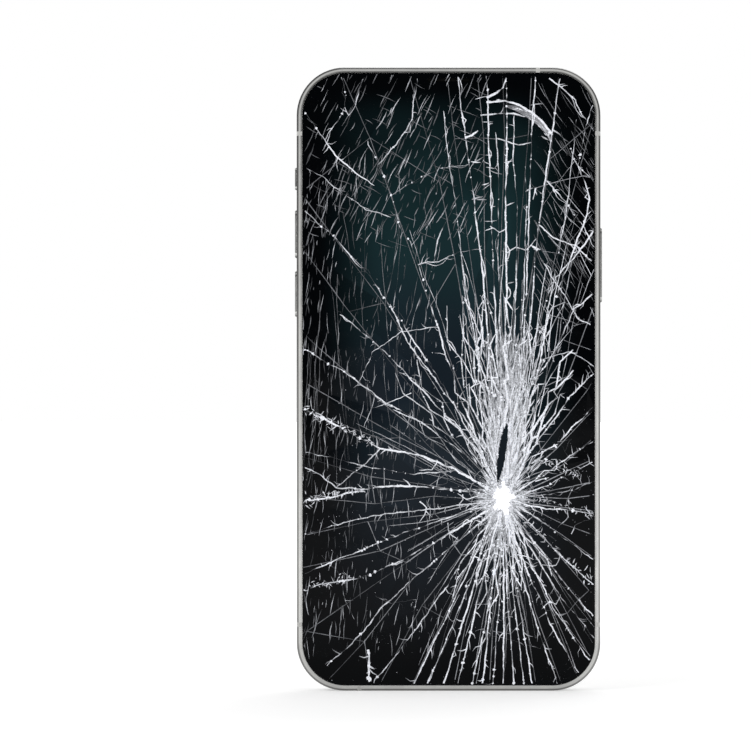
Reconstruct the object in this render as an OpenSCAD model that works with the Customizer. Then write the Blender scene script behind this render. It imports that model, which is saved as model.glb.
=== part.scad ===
// Flat-sided handset with a shattered front glass.
// Modelled face up about its own centre, with X across, Y along and Z out of the screen.
// It is then stood on its bottom edge.

/* [Body] */
// Width of the body across the band
body_w = 71.5; // [66:0.5:90]
// Height of the body along the band
body_h = 146.7; // [140:0.5:180]
// Thickness from glass to glass
body_t = 7.4; // [7.4:0.1:9]
// Corner radius of the outline
corner_r = 11.3; // [10:0.1:14]
// Rounding of the band's two long edges
edge_round = 1.5; // [1:0.1:1.5]
// Visible rim of the band around each glass
rim_w = 1.3; // [1.2:0.1:2]
// Extra width of the ledge that carries the two glasses
ledge_w = 1.0; // [0.8:0.1:1.6]
// Height of each glass above the rim
glass_proud = 0.12; // [0.05:0.01:0.2]
// Width of the antenna breaks in the band
break_w = 1.0; // [0.6:0.1:1.6]
// Distance of the side antenna breaks from the two ends
break_from_end = 15.6; // [13:0.1:17]
// Offset of the end antenna breaks from the middle
break_from_middle = 21; // [20:0.5:23]

/* [Glass and display] */
// Thickness of the front glass
glass_t = 0.8; // [0.6:0.05:1]
// Thickness of the back glass
back_glass_t = 0.8; // [0.6:0.05:1]
// Gap between a glass and the rim
glass_gap = 0.1; // [0.05:0.01:0.2]
// Thickness of the display panel
panel_t = 1.0; // [0.8:0.05:1.2]
// Width of the plastic frame around the display panel
display_frame_w = 1.2; // [0.8:0.1:1.6]
// Thickness of the plate behind the display panel
shield_plate_t = 0.3; // [0.2:0.05:0.4]
// Width of the sensor notch in the panel
notch_w = 34.8; // [34:0.2:40]
// Depth of the sensor notch in the panel
notch_h = 5.4; // [5:0.1:7]
// Length of the earpiece slot at the top of the front glass
earpiece_l = 10; // [6:0.5:14]
// Width of the earpiece slot
earpiece_w = 0.9; // [0.6:0.1:1.2]

/* [Shattered glass] */
// Impact point, measured from the middle of the screen
impact = [12.8, -28]; // [-60:0.1:60]
// Radius of the crushed core
core_r = 2.8; // [2:0.1:4]
// Width of a crack far from the impact
crack_gap = 0.07; // [0.05:0.01:0.12]
// Sideways wander of a radial crack, as a share of the way to its neighbour
crack_wander = 0.28; // [0:0.02:0.3]
// Spread of a ring crack's radius, as a share of it
ring_spread = 0.1; // [0:0.01:0.12]
// Level of the noise above which a ring crack shows (1 leaves none)
ring_share = 0.05; // [-1:0.05:1]
// Seed of the crack pattern
crack_seed = 7; // [1:1:50]
// Length of the sliver that has fallen out
sliver_l = 15; // [8:0.5:18]
// Width of the sliver that has fallen out
sliver_w = 1.7; // [1:0.1:2.4]
// Direction in which the sliver runs, in degrees
sliver_dir = 81; // [70:0.5:100]
// Start of the sliver, measured from the impact
sliver_start = [-1.4, 3.1]; // [-4:0.1:6]

/* [Rear cameras] */
// Distance of the raised camera plateau from the side and the top
plateau_inset = 3.95; // [3.5:0.05:5]
// Margin of the plateau beside the cameras, on its outer side
plateau_margin_out = 2.5; // [2:0.1:4]
// Margin of the plateau beside the cameras, on its inner side
plateau_margin_in = 1.6; // [1.5:0.1:4]
// Margin of the plateau above and below the cameras
plateau_margin_end = 1.95; // [1.5:0.05:4]
// Corner radius of the plateau
plateau_r = 7; // [6:0.1:8]
// Height of the plateau above the back glass
plateau_proud = 0.9; // [0.6:0.1:1.2]
// Edge rounding of the plateau
plateau_round = 0.6; // [0.3:0.1:0.6]
// Outer radius of a lens ring
ring_r = 6.2; // [6:0.05:6.4]
// Radius of a lens cover
cover_r = 4.9; // [4.6:0.05:5.2]
// Height of a lens ring above the plateau
ring_proud = 0.8; // [0.6:0.1:1]
// Thickness of a lens cover
cover_t = 0.5; // [0.4:0.05:0.6]
// Radius of a camera barrel
barrel_r = 4; // [3.6:0.05:4.1]
// Side of a camera module
camera_side = 12; // [11:0.1:14.4]
// Height of a camera module above the chassis plate
camera_h = 1.8; // [1.4:0.1:2]
// Gap between the two columns of cameras
camera_gap = 1.3; // [1:0.1:3]
// Gap between the two cameras of the outer column
camera_end_gap = 3.8; // [3:0.1:5]
// Radius of the flash lens and the scanner cover
port_disc_r = 2.95; // [2.6:0.05:3.5]
// Gap between a lens ring and the flash lens or the scanner cover
disc_gap = 1.5; // [1:0.1:2]
// Radius of the rear microphone hole
rear_mic_r = 0.4; // [0.3:0.05:0.5]

/* [Buttons] */
// Width of the push buttons, through the thickness
button_w = 2.5; // [2.2:0.1:2.7]
// Height of the buttons above the band
button_proud = 0.42; // [0.3:0.02:0.6]
// Travel of the push buttons
button_travel = 0.25; // [0.2:0.05:0.3]
// Clearance around a button in its slot
button_gap = 0.12; // [0.08:0.01:0.15]
// Lip that keeps a button in the band
button_lip = 0.4; // [0.3:0.05:0.45]
// Length of the volume up button
volume_up_l = 11.3; // [10:0.1:12]
// Length of the volume down button
volume_down_l = 10.8; // [10:0.1:11.5]
// Length of the side button
side_l = 17.6; // [15:0.1:22]
// Length of the mute switch
mute_l = 5.3; // [4.6:0.1:5.4]
// Width of the mute switch, through the thickness
mute_w = 1.7; // [1.4:0.1:1.7]
// Travel of the mute switch
mute_travel = 1.2; // [0.8:0.1:1.2]
// Distance of the mute switch from the top
mute_from_top = 26.2; // [25:0.1:28]
// Gap between the mute switch and the volume up button
mute_to_volume = 4.7; // [4:0.1:8]
// Gap between the two volume buttons
volume_gap = 3.05; // [2.5:0.05:6]
// Distance of the side button from the top
side_from_top = 46.5; // [44:0.1:50]

/* [Card tray] */
// Distance of the card tray from the top
tray_from_top = 84; // [82:0.5:88]
// Extra length of the tray's face beyond the long side of the card
tray_face_extra = 2.7; // [2.5:0.1:4]
// Width of the tray's face
tray_face_w = 2.2; // [2:0.1:2.4]
// Size of the card
card_size = [8.8, 12.3, 0.67]; // [0.5:0.01:20]
// Reach of the tray into the body
tray_reach = 19; // [17:0.5:20]
// Thickness of the tray behind its face
tray_t = 1.2; // [1.1:0.05:1.3]
// Clearance around the tray
tray_gap = 0.15; // [0.1:0.01:0.2]
// Radius of the ejector hole
eject_r = 0.45; // [0.4:0.05:0.5]

/* [Bottom edge] */
// Width of the charging port's mouth
port_w = 8.3; // [8:0.1:9]
// Height of the charging port's mouth
port_h = 2.5; // [2.3:0.1:2.8]
// Depth of the charging port
port_depth = 7; // [6:0.1:8]
// Radius of the sound holes
sound_r = 0.75; // [0.6:0.05:0.8]
// Spacing of the sound holes
sound_pitch = 2.2; // [2.1:0.1:2.4]
// Number of sound holes on each side of the port
sound_count = 4; // [2:1:4]
// Offset of the first sound hole from the middle
sound_from_middle = 10.2; // [10:0.1:11]
// Offset of a bottom screw from the middle
bottom_screw_from_middle = 7.5; // [7.4:0.1:8]
// Radius of a bottom screw's head
bottom_screw_r = 0.85; // [0.7:0.05:0.9]

/* [Inside] */
// Thickness of the chassis plate
chassis_t = 0.6; // [0.5:0.05:0.8]
// Clearance between a button's bracket and the parts inside
side_bay_gap = 0.45; // [0.3:0.05:1]
// Width of the logic board's long leg
board_w = 21.5; // [20:0.5:22]
// Thickness of the logic board
board_t = 0.8; // [0.6:0.05:1]
// Height of the logic board above the chassis plate
board_lift = 0.8; // [0.6:0.05:1]
// Height of the shield cans on the board
can_t = 1.3; // [1:0.1:1.4]
// Gap between neighbouring parts inside
part_gap = 1.0; // [0.6:0.1:1.2]
// Thickness of the battery's adhesive strips
adhesive_t = 0.2; // [0.15:0.05:0.3]
// Space between the battery and the display, for swelling
swell_gap = 0.3; // [0.2:0.05:0.4]
// Width and length of the haptic motor
haptic_size = [18, 11]; // [2:0.1:26]
// Width and length of the loudspeaker
speaker_size = [19, 17]; // [2:0.1:24]
// Space between the parts in the lower corners and the display
lower_gap = 0.7; // [0.4:0.1:1.2]
// Clearance between the parts in the lower corners and the round corners of the band
corner_clear = 0.364; // [0.3:0.002:1]
// Outer radius of the charging coil
coil_r = 21; // [18:0.5:22]
// Inner radius of the charging coil
coil_hole_r = 9.5; // [8:0.5:12]
// Thickness of the charging coil
coil_t = 0.5; // [0.3:0.05:0.55]
// Outer radius of the magnet ring
magnet_r = 27; // [26:0.5:28]
// Radial width of the magnet ring
magnet_w = 4; // [3:0.5:4]
// Number of magnets
magnet_count = 18; // [12:1:24]
// Radius of a screw's shank
shank_r = 0.5; // [0.4:0.05:0.6]
// Radius of a screw's head
head_r = 1.0; // [0.8:0.05:1.1]
// Thickness of a screw's head
head_t = 0.35; // [0.3:0.05:0.4]

/* [Hidden] */
$fn = 64;

// Small shared clearances, and how far a cutter passes what it cuts
touch_gap = 0.05;
slide_gap = 0.2;
cut_over = 1;
// Half sizes of the body and of the space inside the band
half_w = body_w / 2;
half_h = body_h / 2;
half_t = body_t / 2;
wall = rim_w + ledge_w;
cav_w = half_w - wall;
cav_h = half_h - wall;
// Levels through the thickness
rim_z = half_t - glass_proud;
glass_z = half_t - glass_t;
gasket_t = 0.3;
ledge_z = glass_z - gasket_t;
panel_z = glass_z - panel_t;
plate_z = panel_z - shield_plate_t;
back_z = -half_t + back_glass_t;
floor_z = back_z + chassis_t;
plateau_z = -half_t - plateau_proud;
ring_z = plateau_z - ring_proud;
cover_recess = 0.2;
cover_z = ring_z + cover_recess;
board_z = floor_z + board_lift;
board_top = board_z + board_t;
// Standing the handset on its bottom edge, centred over the origin
depth_shift = (half_t + ring_z) / 2;

module stand_up() {
  translate([0, depth_shift, half_h]) rotate([90, 0, 0]) children();
}

module slab(low, high) {
  translate(low) cube(high - low);
}

module cyl(at, r, z0, z1) {
  translate([at[0], at[1], z0]) cylinder(h = z1 - z0, r = r);
}

// Plate with round corners, from z0 to z1
module plate(w, h, r, z0, z1) {
  translate([0, 0, z0]) linear_extrude(height = z1 - z0) rounded(w, h, r);
}

module rounded(w, h, r) {
  square([w, h - 2 * r], center = true);
  square([w - 2 * r, h], center = true);
  for (sx = [-1, 1], sy = [-1, 1]) translate([sx * (w / 2 - r), sy * (h / 2 - r)]) circle(r = r);
}

// Stadium whose length is l and width w, along the first axis
module stadium(l, w) {
  square([l - w, w], center = true);
  for (s = [-1, 1]) translate([s * (l - w) / 2, 0]) circle(r = w / 2);
}

// Stadium prism along X: its length lies along Y and its width along Z
module side_pill(x0, x1, y, z, l, w) {
  translate([x0, y, z]) rotate([90, 0, 90]) linear_extrude(height = x1 - x0) stadium(l, w);
}

// Cylinder along Y
module y_cyl(x, z, r, y0, y1) {
  translate([x, y1, z]) rotate([90, 0, 0]) cylinder(h = y1 - y0, r = r);
}

// Profile swept around the outline: x = 0 lies on the outer face and y runs through the thickness
module sweep() {
  for (sx = [0, 1], sy = [0, 1]) mirror([sx, 0, 0]) mirror([0, sy, 0])
    translate([half_w - corner_r, half_h - corner_r, 0])
      rotate_extrude(angle = 90) translate([corner_r, 0]) children();
  for (turn = [0, 180]) rotate([0, 0, turn]) {
    translate([half_w, half_h - corner_r, 0]) rotate([90, 0, 0])
      linear_extrude(height = body_h - 2 * corner_r) children();
    translate([corner_r - half_w, half_h, 0]) rotate([90, 0, 90])
      linear_extrude(height = body_w - 2 * corner_r) children();
  }
}

module band_profile() {
  round_at = rim_z - edge_round;
  translate([-wall, back_z]) square([ledge_w, ledge_z - back_z]);
  intersection() {
    union() {
      translate([-2 * wall, -rim_z]) square([2 * wall - edge_round, 2 * rim_z]);
      translate([-2 * wall, -round_at]) square([2 * wall, 2 * round_at]);
      for (s = [-1, 1]) translate([-edge_round, s * round_at]) circle(r = edge_round);
    }
    translate([-rim_w, -body_t]) square([rim_w, 2 * body_t]);
  }
}

// ---- Band -------------------------------------------------------------------------------------------

mute_y = half_h - mute_from_top;
mute_z = mute_travel / 2;
volume_up_y = mute_y - (mute_l + volume_up_l) / 2 - mute_to_volume;
volume_down_y = volume_up_y - (volume_up_l + volume_down_l) / 2 - volume_gap;
side_y = half_h - side_from_top;
tray_y = half_h - tray_from_top;
tray_lift = 0.25;
tray_z = board_top + tray_lift + tray_t / 2;
tray_face_l = card_size[1] + tray_face_extra;
mute_end_gap = 0.15;
mute_slot_l = mute_l + 2 * (button_gap + mute_end_gap);
mute_slot_w = mute_w + mute_travel + 2 * button_gap;
screw_head_depth = 1.0;

function sound_x(i) = sound_from_middle + i * sound_pitch;

module break_cuts() {
  deep = wall + cut_over;
  for (sx = [-1, 1], sy = [-1, 1])
    translate([sx * (half_w - deep / 2 + cut_over / 2), sy * (half_h - break_from_end), 0])
      cube([deep, break_w, 2 * body_t], center = true);
  for (s = [-1, 1])
    translate([s * break_from_middle, s * (half_h - deep / 2 + cut_over / 2), 0])
      cube([break_w, deep, 2 * body_t], center = true);
}

module band_openings() {
  outside = half_w + cut_over;
  inside = cav_w - cut_over;
  slot_w = button_w + 2 * button_gap;
  side_pill(-outside, -inside, volume_up_y, 0, volume_up_l + 2 * button_gap, slot_w);
  side_pill(-outside, -inside, volume_down_y, 0, volume_down_l + 2 * button_gap, slot_w);
  translate([-outside, mute_y, 0]) rotate([90, 0, 90]) linear_extrude(height = outside - inside)
    rounded(mute_slot_l, mute_slot_w, mute_w / 2 + button_gap);
  side_pill(inside, outside, side_y, 0, side_l + 2 * button_gap, slot_w);
  side_pill(-outside, -inside, tray_y, tray_z, tray_face_l + 2 * tray_gap, tray_face_w + 2 * tray_gap);
  translate([0, cut_over - cav_h, 0]) rotate([90, 0, 0])
    linear_extrude(height = wall + 2 * cut_over) stadium(port_w, port_h);
  for (s = [-1, 1]) {
    screw_x = s * bottom_screw_from_middle;
    for (i = [0 : sound_count - 1]) y_cyl(s * sound_x(i), 0, sound_r, -half_h - cut_over, cut_over - cav_h);
    y_cyl(screw_x, 0, shank_r + touch_gap, -half_h - cut_over, cut_over - cav_h);
    y_cyl(screw_x, 0, bottom_screw_r + touch_gap, -half_h - cut_over, screw_head_depth - half_h);
  }
}

module frame_band() {
  color([0.78, 0.78, 0.76]) difference() {
    sweep() band_profile();
    break_cuts();
    band_openings();
  }
}

module antenna_breaks() {
  color([0.86, 0.86, 0.83]) intersection() {
    sweep() band_profile();
    break_cuts();
  }
}

// Outline of what fits inside the band
display_w = 2 * (cav_w - touch_gap);
display_h = 2 * (cav_h - touch_gap);
display_r = corner_r - wall - touch_gap;

// ---- Chassis and back -------------------------------------------------------------------------------

// Rear layout: the plateau sits in the corner behind the upper right of the screen
plateau_w = plateau_margin_out + plateau_margin_in + 2 * camera_side + camera_gap;
plateau_h = 2 * plateau_margin_end + 2 * camera_side + camera_end_gap;
plateau_x = half_w - plateau_inset - plateau_w / 2;
plateau_y = half_h - plateau_inset - plateau_h / 2;
lens_rise = (camera_side + camera_end_gap) / 2;
outer_lens_x = half_w - plateau_inset - plateau_margin_out - camera_side / 2;
inner_lens_x = outer_lens_x - camera_side - camera_gap;
lens_at = [
  [outer_lens_x, plateau_y + lens_rise],
  [inner_lens_x, plateau_y],
  [outer_lens_x, plateau_y - lens_rise]
];
disc_rise = ring_r + port_disc_r + disc_gap;
flash_at = [inner_lens_x, plateau_y + disc_rise];
scanner_at = [inner_lens_x, plateau_y - disc_rise];
mic_size = 1.1;
mic_side = 4.6;
mic_gap = 0.4;
rear_mic_at = [inner_lens_x - mic_side, plateau_y - camera_side / 2 - mic_gap - mic_size];
// Fits of what passes through the glass and the chassis plate
disc_seat = 0.5;
nose_r = port_disc_r - disc_seat;
nose_gap = 0.1;
barrel_gap = 0.15;
lens_hole_r = barrel_r + barrel_gap;
coil_y = -5;
window_gap = 0.4;
window_r = magnet_r + window_gap;
// Layout inside: board on the left, battery on the right, haptic motor and loudspeaker below them
lip_t = 0.5;
nub_r = 0.8;
nub_t = 0.4;
dome_t = 0.4;
dome_r = 1.2;
plunger_gap = 0.05;
bracket_t = 0.5;
lip_x = cav_w - touch_gap - lip_t;
nub_x = lip_x - nub_t;
dome_x = nub_x - button_travel - plunger_gap;
bracket_x = dome_x - dome_t;
side_wall_x = bracket_x - bracket_t - side_bay_gap;
board_x = -side_wall_x;
board_right = board_x + board_w;
battery_left = board_right + part_gap;
battery_right = side_wall_x;
camera_low = lens_at[2][1] - camera_side / 2;
camera_top = lens_at[0][1] + camera_side / 2;
board_from_camera_top = 3;
board_top_y = camera_top - board_from_camera_top;
board_shelf_y = camera_low - part_gap;
board_shelf_x = inner_lens_x - camera_side / 2 - part_gap;
// The square corner of a part clears a round corner by this much of its radius
corner_share = 1 - 1 / sqrt(2);
corner_inset = corner_share * (corner_r - wall) + corner_clear;
lower_y = -cav_h + corner_inset;
lower_top = plate_z - lower_gap;
battery_low = lower_y + speaker_size[1] + part_gap;
board_low = lower_y + haptic_size[1] + part_gap;
boss_r = 1.1;
boss_inset = 2.2;
boss_from_top = 8;
boss_from_shelf = 4;
boss_at = [
  [board_x + boss_inset, board_low + boss_inset],
  [board_right - boss_inset, board_low + boss_inset],
  [board_x + boss_inset, board_top_y - boss_from_top],
  [board_shelf_x - boss_inset, board_shelf_y + boss_from_shelf]
];

module chassis_plate() {
  color([0.62, 0.63, 0.64]) {
    difference() {
      plate(display_w, display_h, display_r, back_z, floor_z);
      cyl([0, coil_y], window_r, back_z - cut_over, floor_z + cut_over);
      for (at = lens_at) cyl(at, lens_hole_r, back_z - cut_over, floor_z + cut_over);
      for (at = [flash_at, scanner_at]) cyl(at, nose_r + nose_gap, back_z - cut_over, floor_z + cut_over);
      cyl(rear_mic_at, rear_mic_r, back_z - cut_over, floor_z + cut_over);
    }
    for (at = boss_at) difference() {
      cyl(at, boss_r, floor_z, board_z);
      cyl(at, shank_r + touch_gap, floor_z, board_z + cut_over);
    }
  }
}

// Block with rounded vertical corners whose back edge is rounded too
module plateau_block() {
  w = plateau_w - 2 * plateau_round;
  h = plateau_h - 2 * plateau_round;
  r = plateau_r - plateau_round;
  z_round = plateau_z + plateau_round;
  translate([plateau_x, plateau_y, 0]) {
    plate(w, h, r, plateau_z, back_z);
    plate(plateau_w, plateau_h, plateau_r, z_round, back_z);
    for (sx = [-1, 1], sy = [-1, 1])
      translate([sx * (w / 2 - r), sy * (h / 2 - r), z_round])
        rotate_extrude() translate([r, 0]) circle(r = plateau_round);
    for (s = [-1, 1]) {
      translate([s * w / 2, h / 2 - r, z_round]) rotate([90, 0, 0])
        cylinder(h = h - 2 * r, r = plateau_round);
      translate([r - w / 2, s * h / 2, z_round]) rotate([0, 90, 0])
        cylinder(h = w - 2 * r, r = plateau_round);
    }
  }
}

glass_w = body_w - 2 * (rim_w + glass_gap);
glass_h = body_h - 2 * (rim_w + glass_gap);
glass_r = corner_r - rim_w - glass_gap;

module back_glass() {
  low = ring_z - cut_over;
  color([0.93, 0.93, 0.9]) difference() {
    union() {
      plate(glass_w, glass_h, glass_r, -half_t, back_z);
      plateau_block();
    }
    for (at = lens_at) cyl(at, ring_r + touch_gap, low, back_z + cut_over);
    for (at = [flash_at, scanner_at]) cyl(at, port_disc_r + touch_gap, low, back_z + cut_over);
    cyl(rear_mic_at, rear_mic_r, low, back_z + cut_over);
  }
}

// ---- Shattered front glass --------------------------------------------------------------------------

// Directions of the radial cracks around the impact, in degrees
crack_dirs = [
  -9, 2, 10.5, 22, 32, 45, 54, 63, 71, 78, 83, 86.5, 90, 93.5, 97, 103, 112, 121.6, 129.4, 141, 148.5, 156,
  170, 180.6, 191, 201, 212, 224, 235, 244, 254, 261, 267, 273, 279, 286.6, 293.5, 299, 305, 314, 325.6, 338
];
// Distance from the impact over which the cracks narrow
crack_fade = 8;
// Radii of the ring cracks: inside the third, only every third radial crack runs
ring_radii = [1.2, core_r, 8, 16, 30, 52, 84, 150];
core_step = 3;
core_ring = 2;
dir_count = len(crack_dirs);
ring_count = len(ring_radii);

// Repeatable noise between -1 and 1
function noise(a, b) =
  let (v = sin(a * 127.1 + b * 311.7 + crack_seed * 74.7) * 43758.5) 2 * (v - floor(v)) - 1;
function gap_at(r) = crack_gap * (1 + exp(-r / crack_fade));
function dir_at(i) = crack_dirs[(i + dir_count) % dir_count] + (i >= dir_count ? 360 : i < 0 ? -360 : 0);
function room_at(i) = min(dir_at(i + 1) - dir_at(i), dir_at(i) - dir_at(i - 1));
// Crossing of a radial crack and a ring crack, on one side (-1, 0 or 1) of the radial crack
function knot(i, j, side, in_or_out) =
  let (k = i % dir_count,
       spread = j == 0 || j == ring_count - 1 ? 0 : ring_spread,
       r = ring_radii[j] * (1 + spread * noise(k, j)) + in_or_out * crack_gap / 2,
       wander = crack_wander * room_at(k) * noise(k + 50, j),
       turn = dir_at(i) + wander + side * gap_at(r) / (2 * r) * 180 / PI)
  [impact[0] + r * cos(turn), impact[1] + r * sin(turn)];
function is_split(i, j) = j <= core_ring || j == ring_count - 1 || noise(i + 9, j + 4) > ring_share;
// Outline of the shard between radial cracks i and i + step, and rings a and b
function shard(i, step, a, b) = concat(
  [for (j = [a : b]) knot(i, j, 1, j == a ? 1 : j == b ? -1 : 0)],
  step > 1 ? [for (k = [i + 1 : i + step - 1]) knot(k, b, 0, -1)] : [],
  [for (j = [b : -1 : a]) knot(i + step, j, -1, j == a ? 1 : j == b ? -1 : 0)],
  step > 1 && a > 0 ? [for (k = [i + step - 1 : -1 : i + 1]) knot(k, a, 0, 1)] : []
);
function near_glass(points) =
  len([for (p = points) if (abs(p[0]) < glass_w / 2 && abs(p[1]) < glass_h / 2) p]) > 0;
function splits(i) = [for (j = [core_ring : ring_count - 1]) if (is_split(i, j)) j];
shards = concat(
  [for (i = [0 : core_step : dir_count - 1], j = [0 : core_ring - 1]) shard(i, core_step, j, j + 1)],
  [for (i = [0 : dir_count - 1]) let (s = splits(i)) for (k = [0 : len(s) - 2])
    let (points = shard(i, 1, s[k], s[k + 1])) if (near_glass(points)) points]
);
// Where each shard's points start in one long list of points
function starts(i = 0, from = 0) =
  i == len(shards) ? [] : concat([from], starts(i + 1, from + len(shards[i])));
shard_starts = starts();

module all_shards() {
  polygon([for (s = shards) for (p = s) p],
          [for (i = [0 : len(shards) - 1]) [for (k = [0 : len(shards[i]) - 1]) shard_starts[i] + k]]);
}

// Outline of the sliver, as shares of its length and width
sliver_shape = [[0, 0], [0.25, 0.35], [0.7, 0.5], [1, 0.06], [0.8, -0.3], [0.35, -0.5]];

module sliver() {
  translate(impact + sliver_start) rotate(sliver_dir)
    polygon([for (p = sliver_shape) [p[0] * sliver_l, p[1] * sliver_w]]);
}

module front_glass() {
  deep = glass_t + 2 * cut_over;
  color([0.12, 0.13, 0.16]) intersection() {
    difference() {
      plate(glass_w, glass_h, glass_r, glass_z, half_t);
      translate([0, 0, glass_z - cut_over]) linear_extrude(height = deep) sliver();
      earpiece_slot(0, glass_z - cut_over, half_t + cut_over);
    }
    translate([0, 0, glass_z - cut_over]) linear_extrude(height = deep) all_shards();
  }
}

// ---- Display ----------------------------------------------------------------------------------------

panel_w = display_w - 2 * (display_frame_w + touch_gap);
panel_h = display_h - 2 * (display_frame_w + touch_gap);
panel_r = display_r - display_frame_w - touch_gap;
notch_y = panel_h / 2 - notch_h;
plate_inset = 2.6;
earpiece_from_edge = 1.6;
earpiece_y = glass_h / 2 - earpiece_from_edge;
mesh_recess = 0.25;
flex_t = 0.2;
display_flex_w = 4;
display_flex_l = 12;
flex_from_edge = 2;

module earpiece_slot(shrink, z0, z1) {
  translate([0, earpiece_y, z0]) linear_extrude(height = z1 - z0)
    stadium(earpiece_l - 2 * shrink, earpiece_w - 2 * shrink);
}

module earpiece_mesh() {
  color([0.1, 0.1, 0.1]) earpiece_slot(touch_gap, glass_z, half_t - mesh_recess);
}

module display_panel() {
  color([0.03, 0.03, 0.05]) difference() {
    plate(panel_w, panel_h, panel_r, panel_z, glass_z);
    slab([-notch_w / 2, notch_y, panel_z - cut_over], [notch_w / 2, half_h, glass_z + cut_over]);
  }
}

module display_frame() {
  color([0.08, 0.08, 0.09]) difference() {
    plate(display_w, display_h, display_r, panel_z, glass_z);
    plate(panel_w + 2 * touch_gap, panel_h + 2 * touch_gap, panel_r + touch_gap,
          panel_z - cut_over, glass_z + cut_over);
  }
}

module display_gasket() {
  margin = 0.15;
  color([0.15, 0.15, 0.15]) difference() {
    plate(glass_w - 2 * margin, glass_h - 2 * margin, glass_r - margin, ledge_z, glass_z);
    plate(2 * (cav_w + margin), 2 * (cav_h + margin), corner_r - wall + margin,
          ledge_z - cut_over, glass_z + cut_over);
  }
}

module display_back_plate() {
  color([0.55, 0.56, 0.58]) difference() {
    plate(panel_w - 2 * plate_inset, panel_h - 2 * plate_inset, panel_r - plate_inset, plate_z, panel_z);
    slab([-notch_w / 2, notch_y - part_gap, plate_z - cut_over], [notch_w / 2, half_h, panel_z + cut_over]);
  }
}

module display_flex() {
  w = display_flex_w;
  l = display_flex_l;
  x = board_right - flex_from_edge - w;
  y = board_low + l;
  color([0.75, 0.5, 0.2]) {
    slab([x, y, plate_z - flex_t], [x + w, y + l, plate_z]);
    slab([x, y, board_top], [x + w, y + flex_t, plate_z - flex_t]);
  }
}

// ---- Sensors behind the notch -----------------------------------------------------------------------

sensor_t = 1.4;
sensor_bracket_t = 0.3;
window_t = 0.4;
sensor_clear = 0.4;
sensor_top_clear = 0.5;
sensor_top = glass_z - touch_gap;
sensor_z = plate_z - sensor_t;
sensor_low = notch_y + sensor_clear;
sensor_high = cav_h - display_frame_w - sensor_top_clear;
sensor_y = (sensor_low + sensor_high) / 2;
// Widths of the sensors, side by side from the middle outwards
sensor_gap = 1;
speaker_half_w = 5.5;
front_camera_w = 4.5;
projector_w = 4;
face_sensor_w = 9.5;
front_camera_x = speaker_half_w + sensor_gap;
projector_x = front_camera_x + front_camera_w + sensor_gap;
face_sensor_x = -speaker_half_w - sensor_gap - face_sensor_w;
sensor_bracket_x = projector_x + projector_w + sensor_gap / 2;

module sensor_block(x, w) {
  slab([x, sensor_low, sensor_z], [x + w, sensor_high, sensor_top - window_t]);
}

// Round window in front of a sensor
module sensor_window(x, r) {
  cyl([x, sensor_y], r, sensor_top - window_t, sensor_top);
}

module earpiece_speaker() {
  w = 4;
  low = sensor_top - window_t;
  color([0.12, 0.12, 0.13]) {
    sensor_block(-speaker_half_w, 2 * speaker_half_w);
    slab([-w, sensor_low + sensor_gap, low], [w, sensor_high - sensor_bracket_t, sensor_top]);
  }
}

module front_camera() {
  color([0.08, 0.09, 0.14]) {
    sensor_block(front_camera_x, front_camera_w);
    sensor_window(front_camera_x + front_camera_w / 2, 1.7);
  }
}

module face_sensor() {
  inset = 2.5;
  color([0.1, 0.08, 0.1]) {
    sensor_block(face_sensor_x, face_sensor_w);
    for (x = [inset, face_sensor_w - inset]) sensor_window(face_sensor_x + x, 1.3);
  }
}

module face_projector() {
  color([0.12, 0.08, 0.08]) {
    sensor_block(projector_x, projector_w);
    sensor_window(projector_x + projector_w / 2, 1.4);
  }
}

module sensor_bracket() {
  x = sensor_bracket_x;
  low = sensor_z - sensor_bracket_t;
  color([0.6, 0.6, 0.62]) {
    slab([-x, sensor_low, low], [x, sensor_high, sensor_z]);
    slab([-x, sensor_low, floor_z], [sensor_gap - x, sensor_high, low]);
  }
}

// ---- Rear cameras -----------------------------------------------------------------------------------

camera_bracket_t = 0.3;
module_top = floor_z + camera_h;
bracket_z = module_top + camera_bracket_t;

module camera_module(i) {
  at = lens_at[i];
  h = camera_side / 2;
  color([0.1, 0.1, 0.12]) {
    slab([at[0] - h, at[1] - h, floor_z], [at[0] + h, at[1] + h, module_top]);
    cyl(at, barrel_r, cover_z + cover_t + touch_gap, floor_z);
  }
}

module lens_ring(i) {
  at = lens_at[i];
  color([0.75, 0.75, 0.73]) difference() {
    cyl(at, ring_r, ring_z, back_z);
    cyl(at, cover_r + touch_gap, ring_z - cut_over, cover_z + cover_t);
    cyl(at, lens_hole_r, ring_z, back_z + cut_over);
  }
}

module lens_cover(i) {
  color([0.03, 0.03, 0.06]) cyl(lens_at[i], cover_r, cover_z, cover_z + cover_t);
}

module camera_bracket() {
  rim = 0.5;
  left = lens_at[1][0] - camera_side / 2;
  middle = lens_at[0][0] - camera_side / 2;
  right = lens_at[0][0] + camera_side / 2;
  color([0.66, 0.66, 0.67]) difference() {
    union() {
      slab([middle, camera_low, module_top], [right, camera_top, bracket_z]);
      slab([left, camera_low, module_top], [middle, lens_at[1][1] + camera_side / 2, bracket_z]);
    }
    for (at = lens_at) cyl(at, barrel_r - rim, module_top - cut_over, bracket_z + cut_over);
  }
}

disc_proud = 0.03;
disc_t = 0.7;
disc_board = 2.4;
small_board_t = 1;

module disc_cover(at) {
  cyl(at, port_disc_r, plateau_z - disc_proud, plateau_z + disc_t);
}

module disc_module(at) {
  h = disc_board;
  cyl(at, nose_r, plateau_z + disc_t, floor_z);
  slab([at[0] - h, at[1] - h, floor_z], [at[0] + h, at[1] + h, floor_z + small_board_t]);
}

module flash_lens() {
  color([0.95, 0.87, 0.83]) disc_cover(flash_at);
}

module flash_module() {
  color([0.85, 0.8, 0.4]) disc_module(flash_at);
}

module scanner_cover() {
  color([0.2, 0.2, 0.21]) disc_cover(scanner_at);
}

module scanner_module() {
  color([0.12, 0.12, 0.14]) disc_module(scanner_at);
}

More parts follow.
